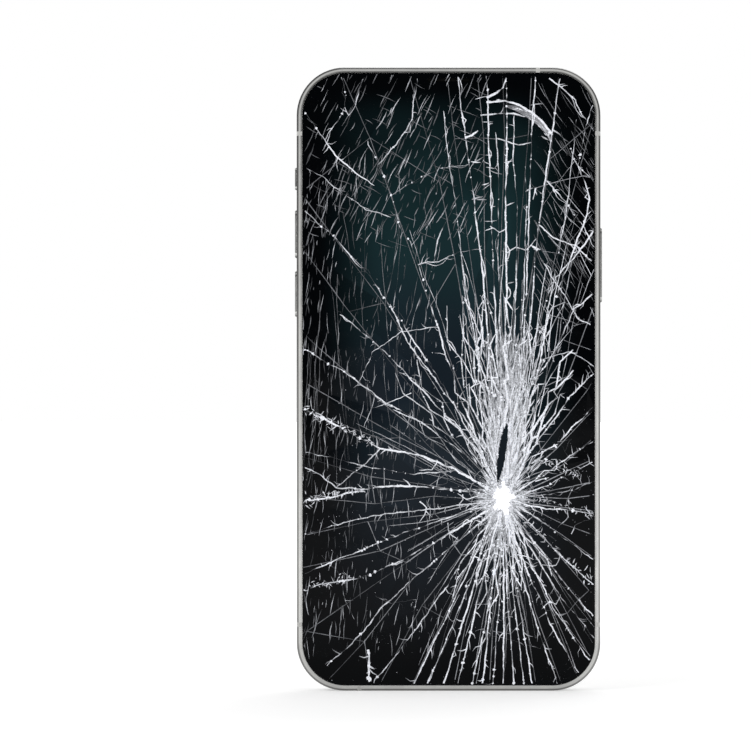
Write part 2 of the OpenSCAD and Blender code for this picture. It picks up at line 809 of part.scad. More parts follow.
module rear_microphone() {
  at = rear_mic_at;
  h = mic_size;
  color([0.7, 0.66, 0.5])
    slab([at[0] - h, at[1] - h, floor_z], [at[0] + h, at[1] + h, floor_z + small_board_t]);
}

// ---- Power ------------------------------------------------------------------------------------------

battery_top = camera_low - part_gap;
adhesive_h = 7;
adhesive_inset = 1;
battery_flex_w = 5;
battery_flex_over = 3;
battery_flex_from_end = 20;

module battery() {
  color([0.14, 0.14, 0.15])
    slab([battery_left, battery_low, floor_z + adhesive_t],
         [battery_right, battery_top, plate_z - swell_gap]);
}

module battery_adhesive() {
  left = battery_left + adhesive_inset;
  right = battery_right - adhesive_inset;
  color([0.8, 0.8, 0.78]) for (y = [battery_low + adhesive_inset, battery_top - adhesive_inset - adhesive_h])
    slab([left, y, floor_z], [right, y + adhesive_h, floor_z + adhesive_t]);
}

module battery_flex() {
  x = board_right - battery_flex_over;
  y = battery_low + battery_flex_from_end;
  color([0.75, 0.5, 0.2])
    slab([x, y, board_top], [battery_left, y + battery_flex_w, board_top + flex_t]);
}

module charging_coil() {
  color([0.72, 0.42, 0.22]) difference() {
    cyl([0, coil_y], coil_r, back_z, back_z + coil_t);
    cyl([0, coil_y], coil_hole_r, back_z - cut_over, back_z + coil_t + cut_over);
  }
}

module magnet_ring() {
  share = 0.9;
  pitch = 360 / magnet_count;
  color([0.5, 0.5, 0.52]) for (i = [0 : magnet_count - 1])
    translate([0, coil_y, back_z]) rotate([0, 0, i * pitch]) rotate_extrude(angle = pitch * share)
      translate([magnet_r - magnet_w, 0]) square([magnet_w, coil_t]);
}

// ---- Logic board ------------------------------------------------------------------------------------

module logic_board() {
  color([0.1, 0.3, 0.2]) difference() {
    union() {
      slab([board_x, board_low, board_z], [board_right, board_top_y, board_top]);
      slab([board_right, board_shelf_y, board_z], [board_shelf_x, board_top_y, board_top]);
    }
    for (at = boss_at) cyl(at, shank_r + slide_gap, board_z - cut_over, board_top + cut_over);
  }
}

can_margin = 1.2;
can_boss_gap = 1.9;

module shield_can(low, high) {
  color([0.68, 0.68, 0.7]) slab([low[0], low[1], board_top], [high[0], high[1], board_top + can_t]);
}

module processor_shield() {
  shield_can([board_x + can_margin, reader_high + part_gap],
             [board_right - can_margin, board_top_y - boss_from_top - head_r - can_boss_gap]);
}

module modem_shield() {
  shield_can([board_x + boss_inset + head_r + can_boss_gap, board_low + boss_inset + head_r + can_boss_gap],
             [board_right - flex_from_edge - display_flex_w - part_gap, reader_low - part_gap]);
}

// ---- Card tray --------------------------------------------------------------------------------------

tray_rail = 0.5;
tray_face_t = 1.2;
tray_end_gap = 0.8;
tray_w = card_size[1] + 2 * tray_rail;
tray_top = tray_z + tray_t / 2;
reader_wall = 0.3;
reader_low = tray_y - tray_w / 2 - slide_gap - reader_wall;
reader_high = tray_y + tray_w / 2 + slide_gap + reader_wall;
card_sink = 0.08;
card_low = tray_top - card_size[2] - card_sink;
card_from_wall = 3.5;
card_x = -cav_w + card_from_wall;
eject_from_end = 1.5;

module sim_reader() {
  left = board_x + slide_gap;
  right = -half_w + tray_reach + tray_end_gap;
  roof = tray_top + slide_gap;
  color([0.72, 0.72, 0.72]) difference() {
    slab([left, reader_low, board_top], [right, reader_high, roof + reader_wall]);
    slab([left - cut_over, reader_low + reader_wall, board_top - cut_over],
         [right - reader_wall, reader_high - reader_wall, roof]);
  }
}

module sim_tray() {
  neck = tray_face_t - half_w;
  color([0.76, 0.76, 0.74]) difference() {
    union() {
      side_pill(-half_w, neck, tray_y, tray_z, tray_face_l, tray_face_w);
      slab([neck, tray_y - tray_w / 2, tray_top - tray_t],
           [tray_reach - half_w, tray_y + tray_w / 2, tray_top]);
    }
    slab([card_x - touch_gap, tray_y - card_size[1] / 2 - touch_gap, card_low],
         [card_x + card_size[0] + touch_gap, tray_y + card_size[1] / 2 + touch_gap, tray_top + cut_over]);
    translate([-half_w - cut_over, tray_y + tray_face_l / 2 - eject_from_end, tray_z]) rotate([0, 90, 0])
      cylinder(h = tray_face_t + 2 * cut_over, r = eject_r);
  }
}

module sim_card() {
  translate([card_x, tray_y - card_size[1] / 2, card_low]) color([0.9, 0.9, 0.92]) cube(card_size);
}

// ---- Lower end --------------------------------------------------------------------------------------

shell = 0.3;
port_back = -half_h + port_depth;
foot_w = 3;
duct_t = 2.4;
duct_shift = 1;
mesh_t = 0.4;
mesh_gap = 0.1;
mesh_margin = 0.35;
duct_y = mesh_t + 2 * mesh_gap - cav_h;
sound_middle = (sound_x(0) + sound_x(sound_count - 1)) / 2;
mesh_half_l = (sound_x(sound_count - 1) - sound_x(0)) / 2 + sound_r + mesh_margin;

module haptic_motor() {
  x = -cav_w + corner_inset;
  color([0.7, 0.7, 0.7])
    slab([x, lower_y, floor_z], [x + haptic_size[0], lower_y + haptic_size[1], lower_top]);
}

module loudspeaker() {
  x = cav_w - corner_inset;
  color([0.12, 0.12, 0.13]) {
    slab([x - speaker_size[0], lower_y, floor_z], [x, lower_y + speaker_size[1], lower_top]);
    slab([sound_x(0) + duct_shift, duct_y, -duct_t / 2],
         [sound_x(sound_count - 1) + duct_shift, lower_y, duct_t / 2]);
  }
}

module microphone() {
  color([0.7, 0.66, 0.5])
    slab([-sound_x(sound_count - 2), duct_y, -duct_t / 2], [-sound_x(0), lower_y - touch_gap, duct_t / 2]);
}

module acoustic_meshes() {
  y = mesh_gap - cav_h;
  color([0.08, 0.08, 0.08]) for (s = [-1, 1])
    slab([s * sound_middle - mesh_half_l, y, -duct_t / 2],
         [s * sound_middle + mesh_half_l, y + mesh_t, duct_t / 2]);
}

module charging_port() {
  half_outer_w = port_w / 2 + 2 * shell;
  half_outer_h = port_h / 2 + shell;
  color([0.3, 0.3, 0.32]) difference() {
    union() {
      slab([-half_outer_w, touch_gap - cav_h, -half_outer_h],
           [half_outer_w, port_back + shell, half_outer_h]);
      slab([-foot_w, port_back - foot_w, floor_z], [foot_w, port_back + shell, -half_outer_h]);
    }
    translate([0, port_back, 0]) rotate([90, 0, 0])
      linear_extrude(height = port_depth + cut_over) stadium(port_w, port_h);
  }
}

module port_contacts() {
  count = 8;
  pitch = (port_w - port_h) / count;
  share = 0.55;
  lift = 0.02;
  from_wall = 1;
  color([0.85, 0.68, 0.3]) for (i = [0 : count - 1])
    translate([(i + (1 - share - count) / 2) * pitch, from_wall - cav_h, lift - port_h / 2])
      cube([share * pitch, 3, 0.2]);
}

module lower_flex() {
  color([0.75, 0.5, 0.2])
    slab([-foot_w, port_back + shell, floor_z], [foot_w, battery_low - slide_gap, floor_z + flex_t]);
}

screw_recess = 0.15;
screw_reach = 2;
screw_slot = [bottom_screw_r, 0.6, 0.25];

module bottom_screws() {
  color([0.7, 0.7, 0.7]) for (x = [-bottom_screw_from_middle, bottom_screw_from_middle]) difference() {
    union() {
      y_cyl(x, 0, bottom_screw_r, screw_recess - half_h, screw_head_depth - half_h);
      y_cyl(x, 0, shank_r, screw_head_depth - half_h, screw_reach - cav_h);
    }
    for (turn = [0, 90]) translate([x, screw_recess - half_h, 0]) rotate([0, turn, 0])
      cube(screw_slot, center = true);
  }
}

module internal_screws() {
  color([0.75, 0.75, 0.76]) for (at = boss_at) {
    cyl(at, head_r, board_top, board_top + head_t);
    cyl(at, shank_r, floor_z + mesh_gap, board_top);
  }
}

// ---- Buttons ----------------------------------------------------------------------------------------

bevel = 0.15;
carriage_over = 0.5;
carriage_lip = 0.25;
contact_size = 1.3;
contact_gap = 0.25;

// Push button on the +X side, with its retaining lip and its plunger
module push_button(y, l) {
  translate([0, y, 0]) {
    side_pill(lip_x + lip_t, half_w + button_proud - bevel, 0, 0, l, button_w);
    side_pill(half_w + button_proud - bevel, half_w + button_proud, 0, 0,
              l - 2 * bevel, button_w - 2 * bevel);
    side_pill(lip_x, lip_x + lip_t, 0, 0, l + 2 * button_lip, button_w + 2 * button_lip);
    translate([nub_x, 0, 0]) rotate([0, 90, 0]) cylinder(h = nub_t, r = nub_r);
  }
}

module volume_up_button() {
  color([0.74, 0.74, 0.72]) mirror([1, 0, 0]) push_button(volume_up_y, volume_up_l);
}

module volume_down_button() {
  color([0.74, 0.74, 0.72]) mirror([1, 0, 0]) push_button(volume_down_y, volume_down_l);
}

module side_button() {
  color([0.74, 0.74, 0.72]) push_button(side_y, side_l);
}

module mute_switch() {
  outside = half_w + button_proud;
  half_l = mute_slot_l / 2 + carriage_over;
  half_carriage_w = mute_w / 2 + carriage_lip;
  color([0.74, 0.74, 0.72]) mirror([1, 0, 0]) translate([0, mute_y, mute_z]) {
    side_pill(lip_x + lip_t, outside - bevel, 0, 0, mute_l, mute_w);
    side_pill(outside - bevel, outside, 0, 0, mute_l - 2 * bevel, mute_w - 2 * bevel);
    slab([lip_x, -half_l, -half_carriage_w], [lip_x + lip_t, half_l, half_carriage_w]);
  }
}

// Wall on the +X side that carries the button contacts, standing on the chassis plate
module contact_wall(y0, y1) {
  slab([bracket_x - bracket_t, y0, floor_z], [bracket_x, y1, plate_z - swell_gap]);
}

module dome(y) {
  translate([bracket_x, y, 0]) rotate([0, 90, 0]) cylinder(h = dome_t, r = dome_r);
}

module volume_bracket() {
  color([0.6, 0.6, 0.62]) mirror([1, 0, 0])
    contact_wall(volume_down_y - volume_down_l / 2, mute_y + mute_slot_l / 2);
}

module volume_switches() {
  h = contact_size;
  color([0.85, 0.68, 0.3]) mirror([1, 0, 0]) {
    for (y = [volume_up_y, volume_down_y]) dome(y);
    slab([bracket_x, mute_y - h, -h], [lip_x - contact_gap, mute_y + h, h]);
  }
}

module side_bracket() {
  color([0.6, 0.6, 0.62]) contact_wall(side_y - side_l / 2, side_y + side_l / 2);
}

module side_switch() {
  color([0.85, 0.68, 0.3]) dome(side_y);
}

// ---- Assembly ---------------------------------------------------------------------------------------

stand_up() frame_band();
stand_up() antenna_breaks();
stand_up() chassis_plate();
stand_up() back_glass();
stand_up() front_glass();
stand_up() display_panel();
stand_up() display_frame();
stand_up() display_gasket();
stand_up() display_back_plate();
stand_up() display_flex();
stand_up() earpiece_speaker();
stand_up() earpiece_mesh();
stand_up() front_camera();
stand_up() face_sensor();
stand_up() face_projector();
stand_up() sensor_bracket();
stand_up() camera_module(0);  // camera_module_1
stand_up() camera_module(1);  // camera_module_2
stand_up() camera_module(2);  // camera_module_3
stand_up() lens_ring(0);  // lens_ring_1
stand_up() lens_ring(1);  // lens_ring_2
stand_up() lens_ring(2);  // lens_ring_3
stand_up() lens_cover(0);  // lens_cover_1
stand_up() lens_cover(1);  // lens_cover_2
stand_up() lens_cover(2);  // lens_cover_3
stand_up() camera_bracket();
stand_up() flash_lens();
stand_up() flash_module();
stand_up() scanner_cover();
stand_up() scanner_module();
stand_up() rear_microphone();
stand_up() battery();
stand_up() battery_adhesive();
stand_up() battery_flex();
stand_up() logic_board();
stand_up() processor_shield();
stand_up() modem_shield();
stand_up() sim_reader();
stand_up() sim_tray();
stand_up() sim_card();
stand_up() haptic_motor();
stand_up() loudspeaker();
stand_up() acoustic_meshes();
stand_up() microphone();
stand_up() charging_port();
stand_up() port_contacts();
stand_up() lower_flex();
stand_up() volume_up_button();
stand_up() volume_down_button();
stand_up() side_button();
stand_up() mute_switch();
stand_up() volume_bracket();
stand_up() volume_switches();
stand_up() side_bracket();
stand_up() side_switch();
stand_up() bottom_screws();
stand_up() internal_screws();
stand_up() charging_coil();
stand_up() magnet_ring();
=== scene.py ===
import math
import random

import bpy
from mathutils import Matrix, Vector


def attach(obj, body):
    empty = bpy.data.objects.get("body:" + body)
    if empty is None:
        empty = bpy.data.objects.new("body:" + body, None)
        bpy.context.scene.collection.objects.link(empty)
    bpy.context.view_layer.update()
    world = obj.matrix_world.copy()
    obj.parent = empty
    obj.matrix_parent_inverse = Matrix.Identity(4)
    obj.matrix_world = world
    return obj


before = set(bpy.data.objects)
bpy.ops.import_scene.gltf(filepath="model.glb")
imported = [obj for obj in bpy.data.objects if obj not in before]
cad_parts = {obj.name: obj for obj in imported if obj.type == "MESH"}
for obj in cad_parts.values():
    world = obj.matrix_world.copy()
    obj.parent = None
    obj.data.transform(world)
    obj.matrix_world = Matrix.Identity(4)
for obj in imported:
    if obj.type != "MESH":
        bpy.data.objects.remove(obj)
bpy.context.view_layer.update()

# ---- Places: phone coordinates in mm (x right, y up, z out of the screen, from the middle of the body) -----
MM = 0.001
HALF_W = 35.75
HALF_H = 73.35
FACE = 3.7  # front of the glass
DEPTH_SHIFT = 0.85  # the body's middle is this far in front of the frame's, which counts the lens rings too
BORDER = 4.2  # from the body's outline to the lit part of the display
RIM = 1.45  # cracks end this far inside the body's outline
RIM_CORNER = 9.9  # corner radius of the line where they end
IMPACT = (12.8, -28.0)
LENSES = ((23.3, 61.45), (10.0, 53.55), (23.3, 45.65))
LENS_GLASS = 4.9  # radius
SLIVER = (11.4, -24.9, 81.0, 15.0, 1.7)  # missing glass: start x and y, direction in degrees, length, width
TURN = 6.283  # full circle in radians


def place(x, y, z):
    """A point of the phone, in metres, in the row frame."""
    return (x * MM, (-z - DEPTH_SHIFT) * MM, (y + HALF_H) * MM)


def from_impact(r, a):
    """The point at distance r from the impact, in direction a in radians."""
    return IMPACT[0] + r * math.cos(a), IMPACT[1] + r * math.sin(a)


# ---- Node helpers ------------------------------------------------------------------------------------------
class Graph:
    """Small helper that adds shader nodes to a material or a world and joins them."""

    def __init__(self, owner, output="OutputMaterial"):
        self.owner = owner
        owner.use_nodes = True
        self.tree = owner.node_tree
        self.tree.nodes.clear()
        self.out = self.node(output)

    def node(self, kind):
        return self.tree.nodes.new("ShaderNode" + kind)

    def put(self, socket, value):
        if isinstance(value, bpy.types.NodeSocket):
            self.tree.links.new(value, socket)
        elif value is not None:
            kept = socket.default_value
            if hasattr(kept, "__len__") and len(kept) == 4 and len(value) == 3:
                value = (*value, 1)
            socket.default_value = value

    def math(self, op, a, b=None, clamp=False):
        n = self.node("Math")
        n.operation = op
        n.use_clamp = clamp
        for socket, value in zip(n.inputs, (a, b)):
            self.put(socket, value)
        return n.outputs[0]

    def vec(self, op, a, b=None, scale=None):
        n = self.node("VectorMath")
        n.operation = op
        self.put(n.inputs[0], a)
        self.put(n.inputs[1], b)
        if scale is not None:
            self.put(n.inputs["Scale"], scale)
        return n.outputs["Value" if op == "LENGTH" else "Vector"]

    def hypot(self, a, b):
        return self.math("SQRT", self.math("ADD", self.math("MULTIPLY", a, a), self.math("MULTIPLY", b, b)))

    def ramp(self, value, a, b, lo=0.0, hi=1.0, smooth=True):
        """value from a to b becomes lo to hi."""
        n = self.node("MapRange")
        n.interpolation_type = "SMOOTHSTEP" if smooth else "LINEAR"
        for key, v in zip(("Value", "From Min", "From Max", "To Min", "To Max"), (value, a, b, lo, hi)):
            self.put(n.inputs[key], v)
        return n.outputs["Result"]

    def window(self, value, a, b, c, d):
        """1 from b to c, and fades to 0 at a and d."""
        return self.math("MULTIPLY", self.ramp(value, a, b), self.ramp(value, d, c))

    def blend(self, t, a, b):
        """Mix of two plain values."""
        n = self.node("Mix")
        for socket, value in zip((n.inputs[0], n.inputs[2], n.inputs[3]), (t, a, b)):
            self.put(socket, value)
        return n.outputs[0]

    def mix(self, t, a, b):
        """Mix of two colours."""
        n = self.node("Mix")
        n.data_type = "RGBA"
        self.put(n.inputs["Factor"], t)
        self.put(n.inputs[6], a)
        self.put(n.inputs[7], b)
        return n.outputs[2]

    def coords(self):
        """Object coordinates in mm."""
        n = self.node("TexCoord")
        return self.vec("SCALE", n.outputs["Object"], scale=1000.0)

    def split(self, vector):
        n = self.node("SeparateXYZ")
        self.put(n.inputs[0], vector)
        return n.outputs

    def phone_xy(self):
        """Phone x and y in mm."""
        x, _, z = self.split(self.coords())
        return x, self.math("SUBTRACT", z, HALF_H)

    def noise(self, scale, detail=3.0, rough=0.5, stretch=(1, 1, 1), vector=None):
        n = self.node("TexNoise")
        n.inputs["Scale"].default_value = scale
        n.inputs["Detail"].default_value = detail
        n.inputs["Roughness"].default_value = rough
        v = self.vec("MULTIPLY", vector or self.coords(), stretch)
        self.put(n.inputs["Vector"], v)
        return n.outputs["Fac"]

    def bump(self, height, strength, distance, normal=None):
        n = self.node("Bump")
        n.inputs["Strength"].default_value = strength
        n.inputs["Distance"].default_value = distance
        self.put(n.inputs["Height"], height)
        if normal is not None:
            self.put(n.inputs["Normal"], normal)
        return n.outputs["Normal"]

    def shader(self, **inputs):
        n = self.node("BsdfPrincipled")
        for key, value in inputs.items():
            self.put(n.inputs[key.replace("_", " ")], value)
        self.put(self.out.inputs["Surface"], n.outputs[0])


def new_graph(name):
    """Graph of a new material."""
    return Graph(bpy.data.materials.new(name))


def finish_material(name, base, other, metallic, rough, spread=0.06, grain=1.2, stretch=(1, 1, 1),
                    bump=0.1, wear=None, wear_amount=0.0, coat=0.0, specular=0.5, edge=None):
    """A worn surface: two tones, uneven roughness, fine bump and light wear.

    edge is the colour of a painted dark reflection on the outer part of the rounding between the front or
    back and the sides.
    """
    g = new_graph(name)
    broad = g.noise(grain * 0.12, 4, 0.6)
    fine = g.noise(grain, 3, 0.6, stretch)
    tone = g.mix(g.ramp(broad, 0.35, 0.65), base, other)
    marks = g.ramp(g.noise(grain * 0.35, 6, 0.7, stretch), 0.62, 0.7, 0.0, wear_amount)
    colour = g.mix(marks, tone, wear or other)
    if edge:
        # Painted dark reflection: the edge colour replaces the base where the normal turns partway from front
        # or back to the side
        facing = g.math("ABSOLUTE", g.split(g.node("NewGeometry").outputs["Normal"])[1])
        colour = g.mix(g.window(facing, 0.05, 0.2, 0.64, 0.84), colour, edge)
    roughness = g.ramp(fine, 0.3, 0.7, rough - spread, rough + spread)
    roughness = g.math("ADD", roughness, g.math("MULTIPLY", marks, 0.25))
    g.shader(Base_Color=colour, Metallic=metallic, Roughness=roughness, Coat_Weight=coat,
             Specular_IOR_Level=specular, Normal=g.bump(fine, bump, 0.00002))
    return g.owner


# ---- The lit screen: a plain wash of light with no picture in it ------------------------------------------
def glow(g, x, y):
    """Emission colour of the display: one uneven wash, teal above and slate below, dark at the rim."""
    height = g.math("ADD", y, g.ramp(g.noise(0.018, 2, 0.5), 0.3, 0.7, -22.0, 22.0))
    tint = g.mix(g.ramp(height, -30.0, 50.0), (0.009, 0.014, 0.021), (0.009, 0.027, 0.030))
    body = g.window(height, -84.0, 0.0, 30.0, 96.0)
    across = g.ramp(g.math("ABSOLUTE", x), HALF_W - BORDER, 10.0)
    along = g.ramp(g.math("ABSOLUTE", y), HALF_H - BORDER, 58.0)
    return g.vec("SCALE", tint, scale=g.math("MULTIPLY", body, g.math("MULTIPLY", across, along)))


def screen_material(name, strength, cover):
    """Black glass or panel that carries the glow. cover adds frost, dust and smears of the broken glass, and
    a painted white glow over the crushed heart.
    """
    g = new_graph(name)
    x, y = g.phone_xy()
    geo = g.node("NewGeometry")
    island = geo.outputs["Random Per Island"]
    light = g.vec("SCALE", glow(g, x, y), scale=g.ramp(island, 0, 1, 0.72 * strength, 1.12 * strength, False))
    if not cover:
        fine = g.noise(1.5)
        g.shader(Base_Color=g.mix(fine, (0.002, 0.002, 0.003), (0.005, 0.005, 0.007)),
                 Roughness=g.ramp(fine, 0.3, 0.7, 0.3, 0.45), Specular_IOR_Level=0.05, Emission_Color=light,
                 Emission_Strength=1.0, Normal=g.bump(fine, 0.1, 0.00001))
        return g.owner
    # Frost: fine radial splinters around the impact, and a milky column above it
    px = g.math("SUBTRACT", x, IMPACT[0])
    py = g.math("SUBTRACT", y, IMPACT[1])
    r = g.hypot(px, py)
    join = g.node("CombineXYZ")
    g.put(join.inputs[0], g.math("DIVIDE", px, r))
    g.put(join.inputs[1], g.math("DIVIDE", py, r))
    g.put(join.inputs[2], g.math("MULTIPLY", g.math("LOGARITHM", g.math("ADD", r, 1.0), math.e), 0.12))
    splinters = g.noise(26.0, 5, 0.72, vector=join.outputs[0])
    speckle = g.noise(2.2, 5, 0.75)
    near = g.math("POWER", g.ramp(r, 24.0, 1.5, smooth=False), 2.6)
    up = g.window(py, 2.0, 9.0, 12.0, 42.0)
    side = g.math("ABSOLUTE", g.math("SUBTRACT", px, g.math("MULTIPLY", py, 0.02)))
    column = g.math("MULTIPLY", up, g.ramp(side, g.math("ADD", 3.0, g.math("MULTIPLY", py, 0.16)), 0.5))
    dense = g.math("ADD", near, g.math("MULTIPLY", column, 0.38), clamp=True)
    streaks = g.ramp(splinters, g.math("SUBTRACT", 0.64, g.math("MULTIPLY", dense, 0.2)), 0.72)
    frost = g.math("MULTIPLY", streaks, dense)
    frost = g.math("MULTIPLY", frost, g.ramp(speckle, 0.3, 0.6, 0.35, 1.0), clamp=True)
    # Crushed heart round the impact: pale frost in the base colour, and a painted white glow in the emission
    core_frost_and_glow = g.ramp(g.math("ADD", r, g.math("MULTIPLY", speckle, 3.6)), 5.4, 3.2)
    frost = g.math("MAXIMUM", frost, core_frost_and_glow)
    smear = g.ramp(g.noise(0.06, 5, 0.65, (1.0, 1.0, 1.6)), 0.45, 0.75)
    dust = g.ramp(g.noise(6.0, 2, 0.6), 0.70, 0.76, 0.0, 0.35)
    pale = g.math("MAXIMUM", frost, g.math("MULTIPLY", dust, smear))
    base = g.mix(pale, (0.0012, 0.0016, 0.0022), (0.78, 0.80, 0.86))
    lit = g.vec("SCALE", light, scale=g.math("SUBTRACT", 1.0, g.math("MULTIPLY", frost, 0.8)))
    # Painted glow: plain white emission over the crushed heart
    lit = g.vec("ADD", lit, g.vec("SCALE", (1.0, 1.0, 1.0), scale=core_frost_and_glow))
    roughness = g.math("ADD", g.ramp(smear, 0, 1, 0.05, 0.17), g.math("MULTIPLY", frost, 0.4), clamp=True)
    # Each shard leans a little its own way
    tilt = g.node("TexWhiteNoise")
    tilt.noise_dimensions = "1D"
    g.put(tilt.inputs["W"], island)
    lean = g.vec("SCALE", g.vec("SUBTRACT", tilt.outputs["Color"], (0.5, 0.5, 0.5)), scale=0.014)
    normal = g.vec("NORMALIZE", g.vec("ADD", geo.outputs["Normal"], lean))
    relief = g.math("ADD", frost, g.math("MULTIPLY", dust, 0.4))
    g.shader(Base_Color=base, Roughness=roughness, IOR=1.5, Specular_IOR_Level=0.05, Emission_Color=lit,
             Emission_Strength=1.0, Normal=g.bump(relief, 0.25, 0.00005, normal))
    return g.owner


def crack_material():
    """Fractured edge of the glass, from dim hairline to bright white.

    The mesh's catch attribute says how much light each point catches. Above 1 it turns plain white and
    glows fully, as in the heart.
    """
    g = new_graph("crack_edge")
    a = g.node("Attribute")
    a.attribute_name = "catch"
    grain = g.noise(2.6, 4, 0.7)
    lit = g.math("MULTIPLY", a.outputs["Fac"], g.ramp(grain, 0.32, 0.62, 0.55, 1.1), clamp=True)
    colour = g.mix(lit, (0.004, 0.005, 0.007), (0.86, 0.88, 0.94))
    heart = g.ramp(a.outputs["Fac"], 1.0, 1.2)
    colour = g.mix(heart, colour, (1.0, 1.0, 1.0))
    g.shader(Base_Color=colour, Roughness=g.ramp(grain, 0.3, 0.7, 0.3, 0.6), Specular_IOR_Level=0.2,
             Emission_Color=colour, Emission_Strength=g.ramp(heart, 0, 1, 0.34, 1.0),
             Normal=g.bump(grain, 0.3, 0.00005))
    return g.owner


def nearest(g, x, y, centres, shift=(0, 0)):
    """Distance from the nearest of the centres, each moved by shift."""
    least = None
    for cx, cy in centres:
        away = g.hypot(g.math("SUBTRACT", x, cx + shift[0]), g.math("SUBTRACT", y, cy + shift[1]))
        least = away if least is None else g.math("MINIMUM", least, away)
    return least


def lens_material(name, centres, r_glass):
    """Dark coated lens: rings of barrel, a deep pupil and a painted cool reflection off centre."""
    g = new_graph(name)
    x, y = g.phone_xy()
    d = nearest(g, x, y, centres)
    ring = g.window(d, r_glass * 0.50, r_glass * 0.56, r_glass * 0.60, r_glass * 0.66)
    inner = g.window(d, r_glass * 0.30, r_glass * 0.34, r_glass * 0.38, r_glass * 0.44)
    # Painted reflection: a blue spot a little off each lens centre, mixed into the base colour
    painted_reflection = g.ramp(nearest(g, x, y, centres, (0.7, 0.8)), 1.5, 0.2)
    base = g.mix(ring, (0.0015, 0.0015, 0.0025), (0.030, 0.031, 0.037))
    base = g.mix(inner, base, (0.012, 0.014, 0.028))
    base = g.mix(g.math("MULTIPLY", painted_reflection, 0.8), base, (0.02, 0.04, 0.12))
    fine = g.noise(2.0, 4, 0.7)
    g.shader(Base_Color=base, Roughness=g.ramp(fine, 0.3, 0.7, 0.03, 0.09), IOR=1.5, Specular_IOR_Level=0.16,
             Normal=g.bump(fine, 0.03, 0.00001))
    return g.owner


MATERIALS = {
    # The band's edge colour is a painted dark reflection on its rounded edges
    "band": finish_material("steel_band", (0.52, 0.52, 0.505), (0.46, 0.46, 0.45), 1.0, 0.22, 0.04, 1.4,
                            (1, 1, 0.15), 0.03, (0.36, 0.36, 0.36), 0.25, edge=(0.17, 0.17, 0.165)),
    "antenna": finish_material("antenna_plastic", (0.62, 0.62, 0.60), (0.55, 0.55, 0.53), 0.0, 0.42),
    "back": finish_material("back_glass", (0.845, 0.85, 0.82), (0.83, 0.836, 0.805), 0.0, 0.30, 0.03, 0.9,
                            bump=0.02, wear=(0.74, 0.74, 0.71), wear_amount=0.05, coat=0.2),
    "plate": finish_material("plate_aluminium", (0.45, 0.46, 0.47), (0.38, 0.39, 0.40), 1.0, 0.4),
    "screen": screen_material("front_glass", 1.0, True),
    "panel": screen_material("display", 0.75, False),
    "black": finish_material("black_plastic", (0.012, 0.012, 0.013), (0.022, 0.022, 0.024), 0.0, 0.45),
    "rubber": finish_material("seal_rubber", (0.015, 0.015, 0.016), (0.03, 0.03, 0.03), 0.0, 0.7),
    "shield": finish_material("shield_steel", (0.55, 0.55, 0.56), (0.46, 0.46, 0.47), 1.0, 0.35),
    "flex": finish_material("flex", (0.42, 0.22, 0.06), (0.34, 0.17, 0.045), 0.0, 0.4),
    "mesh": finish_material("mesh", (0.002, 0.002, 0.002), (0.004, 0.004, 0.004), 0.0, 0.85, grain=4.0,
                            specular=0.04),
    "barrel": finish_material("lens_black", (0.008, 0.008, 0.010), (0.016, 0.016, 0.02), 0.0, 0.35),
    "ring": finish_material("steel_ring", (0.47, 0.47, 0.465), (0.40, 0.40, 0.395), 1.0, 0.16, 0.04, 2.0,
                            bump=0.03),
    "lens": lens_material("lens_glass", LENSES, LENS_GLASS),
    "flash": finish_material("flash", (0.78, 0.60, 0.49), (0.76, 0.64, 0.53), 0.0, 0.18, coat=0.5, grain=3.0,
                             bump=0.3),
    "phosphor": finish_material("flash_phosphor", (0.72, 0.62, 0.20), (0.66, 0.56, 0.18), 0.0, 0.6),
    "scanner": finish_material("scanner_glass", (0.018, 0.018, 0.020), (0.03, 0.03, 0.033), 0.0, 0.14,
                               specular=0.3),
    "gold": finish_material("gold", (0.72, 0.50, 0.18), (0.62, 0.42, 0.14), 1.0, 0.3),
    "battery": finish_material("battery_wrap", (0.02, 0.02, 0.022), (0.035, 0.035, 0.038), 0.0, 0.35),
    "adhesive": finish_material("adhesive", (0.55, 0.55, 0.52), (0.46, 0.46, 0.44), 0.0, 0.7),
    "board": finish_material("board", (0.012, 0.055, 0.03), (0.02, 0.075, 0.04), 0.0, 0.4, coat=0.3,
                             grain=3.0),
    "card": finish_material("card_plastic", (0.75, 0.75, 0.77), (0.68, 0.68, 0.70), 0.0, 0.4),
    "shell": finish_material("port_shell", (0.30, 0.30, 0.31), (0.22, 0.22, 0.23), 1.0, 0.35, wear_amount=0.5,
                             wear=(0.08, 0.07, 0.06)),
    "screw": finish_material("screw", (0.56, 0.56, 0.56), (0.44, 0.44, 0.44), 1.0, 0.25),
    "copper": finish_material("copper", (0.62, 0.30, 0.15), (0.52, 0.24, 0.11), 1.0, 0.35, grain=4.0),
    "magnet": finish_material("magnet", (0.30, 0.30, 0.31), (0.24, 0.24, 0.25), 1.0, 0.4),
    "crack": crack_material(),
}

